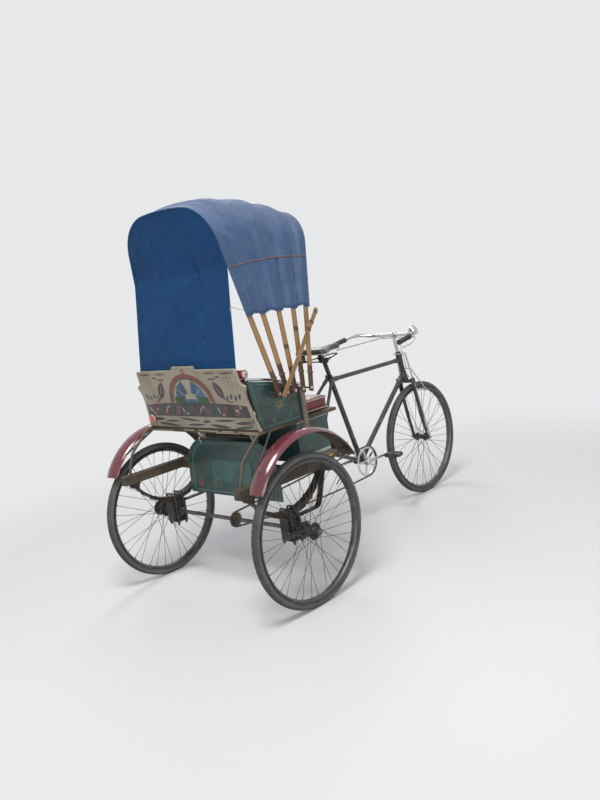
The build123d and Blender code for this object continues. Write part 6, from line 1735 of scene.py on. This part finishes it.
def curtain():
    """The blue curtain under the rear hoop, with hems and a tie a side."""
    hoop = curtain_hoop()
    rings = [[curtain_point(hoop, 2 * i / CURTAIN_WIDE - 1, k) for k in range(CURTAIN_TALL + 1)]
             for i in range(CURTAIN_WIDE + 1)]
    sheet = make("rear_curtain_sheet", Shape().loft(rings, around=False), "rear_hoop", CURTAIN_BLUE,
                 ["rear_curtain"], thick=0.0014, subdivide=1)
    hem = Shape().tube([r[0] + Z * 0.002 for r in rings], 0.0026, 8)
    for edge in (rings[0], rings[-1], [r[-1] for r in rings]):
        hem.tube(edge, 0.0022, 8)
    for k in (4, 5):
        hem.tube([r[k] - X * 0.0010 for r in rings], 0.0007, 5)
    hems = make("curtain_hems", hem, "rear_hoop", CURTAIN_BLUE)

    ties, row, tie_up = Shape(), round(CURTAIN_TALL * 0.62), (HEM_Z + 0.030 - PIVOT_Z) / cos(hoop_lean(0))
    for ring, side in ((rings[0], -1), (rings[-1], 1)):
        knot = ring[row]
        leg = on_leg(0, side, tie_up) + Y * side * 0.004 - hoop_ahead(0) * 0.016
        ties.tube([knot.lerp(leg, k / 8) - Z * 0.002 * sin(pi * k / 8) for k in range(9)], 0.0019, 6)
        ties.lathe([(0.0012, -0.003), (0.0034, 0), (0.0012, 0.003)], knot, Z, 8)
        end = [knot, knot - X * 0.006 - Z * 0.012, knot - X * 0.003 - Z * 0.040]
        ties.tube(rounded(end, 0.01), 0.0009, 6)
    cords = make("curtain_ties", ties, "rear_hoop", PALE_CORD)
    top = in_hoop(0, 0, HOOPS[0][2])
    for obj in (sheet, hems, cords):
        tuple(hoop_up(0))
        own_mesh(obj)


def apply_modifiers(obj):
    """Makes the evaluated mesh the object's own."""
    mesh = bpy.data.meshes.new_from_object(obj.evaluated_get(bpy.context.evaluated_depsgraph_get()))
    obj.modifiers.clear()
    obj.data = mesh


def puffed(obj, pinned, cap, floor_z=None):
    """Cloth under pressure: the faces swell between the pinned seams, by cap at most."""
    modifier, frames = obj.modifiers.new("remesh", "REMESH"), 20
    modifier.mode, modifier.voxel_size = "VOXEL", 0.009
    apply_modifiers(obj)
    rest = [v.co.copy() for v in obj.data.vertices]
    group = obj.vertex_groups.new(name="seams")
    group.add([v.index for v in obj.data.vertices if pinned(v.co + X * ORIGIN_X)], 1.0, "REPLACE")
    cloth = obj.modifiers.new("cloth", "CLOTH")
    cloth.settings.use_pressure = True
    cloth.settings.uniform_pressure_force = 4
    cloth.settings.effector_weights.gravity = 0
    cloth.settings.vertex_group_mass = "seams"
    cloth.settings.quality = 4
    cloth.point_cache.frame_start, cloth.point_cache.frame_end = 1, frames
    for step in range(1, frames + 1):
        bpy.context.scene.frame_set(step)
    swollen = bpy.data.meshes.new_from_object(obj.evaluated_get(bpy.context.evaluated_depsgraph_get()))
    obj.modifiers.remove(cloth)
    bpy.context.scene.frame_set(1)
    for v, old, new in zip(obj.data.vertices, rest, swollen.vertices):
        move = new.co - old
        v.co = old + move * min(1, cap / max(move.length, 1e-6))
        if floor_z is not None:
            v.co.z = max(v.co.z, floor_z)
    bpy.data.meshes.remove(swollen)
    obj.data.polygons.foreach_set("use_smooth", [True] * len(obj.data.polygons))
    modifier = obj.modifiers.new("subdivide", "SUBSURF")
    modifier.levels = modifier.render_levels = 1
    apply_modifiers(obj)


def pad_ring(half_x, half_y, bend, inset, z, place):
    """A rectangle with rounded corners, inset by a distance and put in place by a function."""
    points = []
    for sx, sy, start in ((1, 1, 0), (-1, 1, pi / 2), (-1, -1, pi), (1, -1, 3 * pi / 2)):
        for k in range(7):
            t = start + pi / 2 * k / 6
            points.append(place(sx * (half_x - bend) + (bend - inset) * cos(t),
                                sy * (half_y - bend) + (bend - inset) * sin(t), z))
    return points


def pad_shape(half_x, half_y, half_z, bend, place):
    """A block with rounded corners, as a stack of rounded rectangles."""
    rows = ((0.7 * bend, -half_z), (0.2 * bend, -half_z + 0.2 * bend), (0, -half_z + 0.6 * bend), (0.002, 0),
            (0, half_z - 0.6 * bend), (0.2 * bend, half_z - 0.2 * bend), (0.7 * bend, half_z))
    return Shape().loft([pad_ring(half_x, half_y, bend, inset, z, place) for inset, z in rows])


def seat_cushion(piping):
    """The seat cushion, in red vinyl swollen by cloth simulation, with its piping and buttons."""
    centre, half_x, half_y, bend, low, high = Vector((0.183, 0, 0)), 0.2430, 0.369, 0.024, 0.8308, 0.8985
    middle, half_z = (low + high) / 2, (high - low) / 2
    edge_z, buttons = half_z - 0.0095, [(x, y) for x in (-0.115, 0.115) for y in (-0.25, 0, 0.25)]

    def place(a, b, c):
        return centre + Vector((a, b, middle + c))

    def pinned(p):
        x, y, z = p.x - centre.x, p.y, p.z - middle
        near_edge = max(abs(x) - half_x, abs(y) - half_y) > -0.0075
        buttoned = min(hypot(x - bx, y - by) for bx, by in buttons) < 0.010 and z > 0
        return (near_edge and abs(abs(z) - edge_z) < 0.006) or buttoned or z < -half_z + 0.004

    seat = make("seat_cushion_pad", pad_shape(half_x, half_y, half_z, bend, place), "chassis", VINYL,
                ["seat_cushion"], sharp=180)
    puffed(seat, pinned, 0.0115, low - 0.0004)
    for z in (edge_z, -edge_z):
        piping.tube(pad_ring(half_x, half_y, bend, -0.0012, z, place), 0.0034, 8, closed=True)
    for x, y in buttons:
        piping.lathe([(0.0105, -0.001), (0.0105, 0.0012), (0.0070, 0.0034), (0.0020, 0.0042)],
                     centre + Vector((x, y, high + 0.0002)), Z, 18)
    return seat


def back_cushion(piping):
    """The back cushion on the leaning board, made like the seat's, with three sewn channels."""
    low, high, half_y, thick, bend, seam_c = 0.9125, 1.0800, 0.364, 0.0180, 0.016, 0.010
    half_x, channels = (high - low) / 2 - 0.004, (-0.182, 0, 0.182)
    face = BACK_FOOT - BACK_OUT * 0.0345
    face += BACK_UP * (((low + high) / 2 - face.z) / cos(RECLINE))

    def place(a, b, c):
        return face + BACK_UP * a + Y * b - BACK_OUT * c

    def pinned(p):
        a, b, c = (p - face).dot(BACK_UP), p.y, -(p - face).dot(BACK_OUT)
        near_edge = max(abs(a) - half_x, abs(b) - half_y) > -0.007
        sewn = min(abs(b - y) for y in channels) < 0.006 and c > 0
        return (near_edge and abs(c - seam_c) < 0.006) or sewn or c < -thick + 0.003

    back = make("back_cushion_pad", pad_shape(half_x, half_y, thick, bend, place), "chassis", VINYL,
                ["back_cushion"], sharp=180)
    puffed(back, pinned, 0.0085)
    piping.tube(pad_ring(half_x, half_y, bend, -0.0010, seam_c, place), 0.0032, 8, closed=True)
    end = half_x - 0.008
    for y in channels:
        piping.tube([place(a, y, thick + 0.0004) for a in (-end, 0, end)], 0.0022, 6)
    return back


def bolster():
    """The round bolster on top of the back cushion, with trimmed ends."""
    roll, ends, place, half, radius = Shape(), Shape(), Vector((-0.1035, 0, 1.0960)), 0.3700, 0.0208
    tucks = [(radius - 0.0012 * (k % 8 == 4), 2 * half * k / 48 - half) for k in range(49)]
    close = [(radius, half), (0.0190, 0.3765), (0.0120, 0.3800)]
    roll.lathe([(r, -o) for r, o in close[::-1]] + tucks + close[1:], place, Y, 28)
    rolled = make("top_bolster", roll, "chassis", VINYL, sharp=180, subdivide=1)
    for out in (Y, -Y):
        ends.paint = 0
        ends.lathe([(0.0175, 0.3770), (0.0150, 0.3815), (0.0080, 0.3828)], place, out, 24)
        ends.paint = 1
        ends.lathe([(0.0060, 0.3820), (0.0050, 0.3850), (0.0015, 0.3856)], place, out, 14)
        ends.lathe([(0.0188, 0.3745), (0.0206, 0.3765), (0.0188, 0.3785)], place, out, 24)
    make("bolster_ends", ends, "chassis", [PALE_TRIM, PINK])
    return rolled


def cushions():
    """The seat cushion, back cushion and bolster, and their piping."""
    piping = Shape()
    seat = seat_cushion(piping)
    back = back_cushion(piping)
    make("cushion_piping", piping, "chassis", PIPING)
    for obj, fill in ((seat, 0.8), (back, 0.75), (bolster(), 0.9)):
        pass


def camera():
    """The camera at the photograph's place."""
    yaw, pitch, roll = radians(CAMERA_YAW), radians(CAMERA_PITCH), radians(CAMERA_ROLL)
    ahead = Vector((cos(pitch) * cos(yaw), cos(pitch) * sin(yaw), sin(pitch)))
    right = ahead.cross(Z).normalized()
    up = right.cross(ahead)
    right, up = cos(roll) * right + sin(roll) * up, cos(roll) * up - sin(roll) * right
    data = bpy.data.cameras.new("camera")
    data.sensor_fit = "VERTICAL"
    data.sensor_height = SENSOR
    data.lens = FOCAL_PIXELS * SENSOR / PHOTO_HEIGHT
    data.clip_end = 200
    eye = bpy.data.objects.new("camera", data)
    bpy.context.scene.collection.objects.link(eye)
    eye.matrix_world = Matrix.Translation(CAMERA_AT) @ Matrix((right, up, -ahead)).transposed().to_4x4()
    bpy.context.scene.camera = eye


def lamp(name, place, target, power, size, colour):
    """A round area light that looks at a place."""
    data = bpy.data.lights.new(name, "AREA")
    data.energy, data.color, data.shape, data.size = power, colour, "DISK", size
    obj = bpy.data.objects.new(name, data)
    bpy.context.scene.collection.objects.link(obj)
    obj.location = place
    obj.rotation_euler = (Vector(target) - Vector(place)).to_track_quat("-Z", "Y").to_euler()


def seen(tree):
    """1 for what the camera sees, itself or in gloss or through glass."""
    path = add_node(tree, "ShaderNodeLightPath").outputs
    value = path["Is Camera Ray"]
    for name in ("Is Glossy Ray", "Is Transmission Ray"):
        value = add_node(tree, "ShaderNodeMath", value, path[name], operation="MAXIMUM").outputs[0]
    return value


def surround():
    """The studio round the floor: pale to the camera, and dimmer as light."""
    world = bpy.data.worlds.new("studio")
    bpy.context.scene.world = world
    world.use_nodes = True
    tree = world.node_tree
    mix = add_node(tree, "ShaderNodeMix", data_type="RGBA")
    for socket, value in (("Factor", seen(tree)), ("A", (0.40, 0.42, 0.45, 1)), ("B", SURROUND)):
        feed(tree, mix.inputs[socket], value)
    tree.links.new(mix.outputs["Result"], tree.nodes["Background"].inputs["Color"])


def floor_look():
    """A pale matt floor that fades into the surround from 1.7 to 3.4 m out."""
    look = bpy.data.materials.new("floor")
    look.use_nodes = True
    tree = look.node_tree
    shader = tree.nodes["Principled BSDF"]
    shader.inputs["Base Color"].default_value = (0.74, 0.74, 0.73, 1)
    shader.inputs["Roughness"].default_value = 0.9
    shader.inputs["Specular IOR Level"].default_value = 0.1
    place = add_node(tree, "ShaderNodeNewGeometry").outputs["Position"]
    away = add_node(tree, "ShaderNodeVectorMath", place, operation="LENGTH").outputs["Value"]
    fade = add_node(tree, "ShaderNodeMapRange", away, 1.7, 3.4, interpolation_type="SMOOTHSTEP").outputs[0]
    share = add_node(tree, "ShaderNodeMath", fade, seen(tree), operation="MULTIPLY").outputs[0]
    glow = add_node(tree, "ShaderNodeEmission", SURROUND).outputs[0]
    blend = add_node(tree, "ShaderNodeMixShader", share, shader.outputs[0], glow)
    tree.links.new(blend.outputs[0], tree.nodes["Material Output"].inputs["Surface"])
    return look


def stage():
    """A plain pale floor that fades into a pale surround, with soft light."""
    bpy.context.scene.view_settings.view_transform = "Standard"
    surround()
    mesh = bpy.data.meshes.new("floor")
    corners = [(x * FLOOR_HALF, y * FLOOR_HALF, 0) for x, y in ((-1, -1), (1, -1), (1, 1), (-1, 1))]
    mesh.from_pydata(corners, [], [(0, 1, 2, 3)])
    mesh.materials.append(floor_look())
    floor = bpy.data.objects.new("floor", mesh)
    bpy.context.scene.collection.objects.link(floor)
    lamp("key", (-2.5, -1.5, 5.5), (0, 0, 0.8), 205, 2.4, (1, 0.98, 0.95))
    lamp("fill", (-4.5, -5.5, 3.0), (0, 0, 0.9), 120, 4.0, (0.95, 0.97, 1))
    lamp("rim", (3.5, 4.0, 4.5), (0, 0, 0.9), 130, 3.0, (1, 1, 1))


for build in (camera, stage, wheels, drive, bicycle, front_end, saddle, springs, underframe, footboard,
              seat_base, back_board, tail_panel, side_panels, seat_planks, fenders, corner_struts, hoops,
              hood, curtain, cushions):
    build()
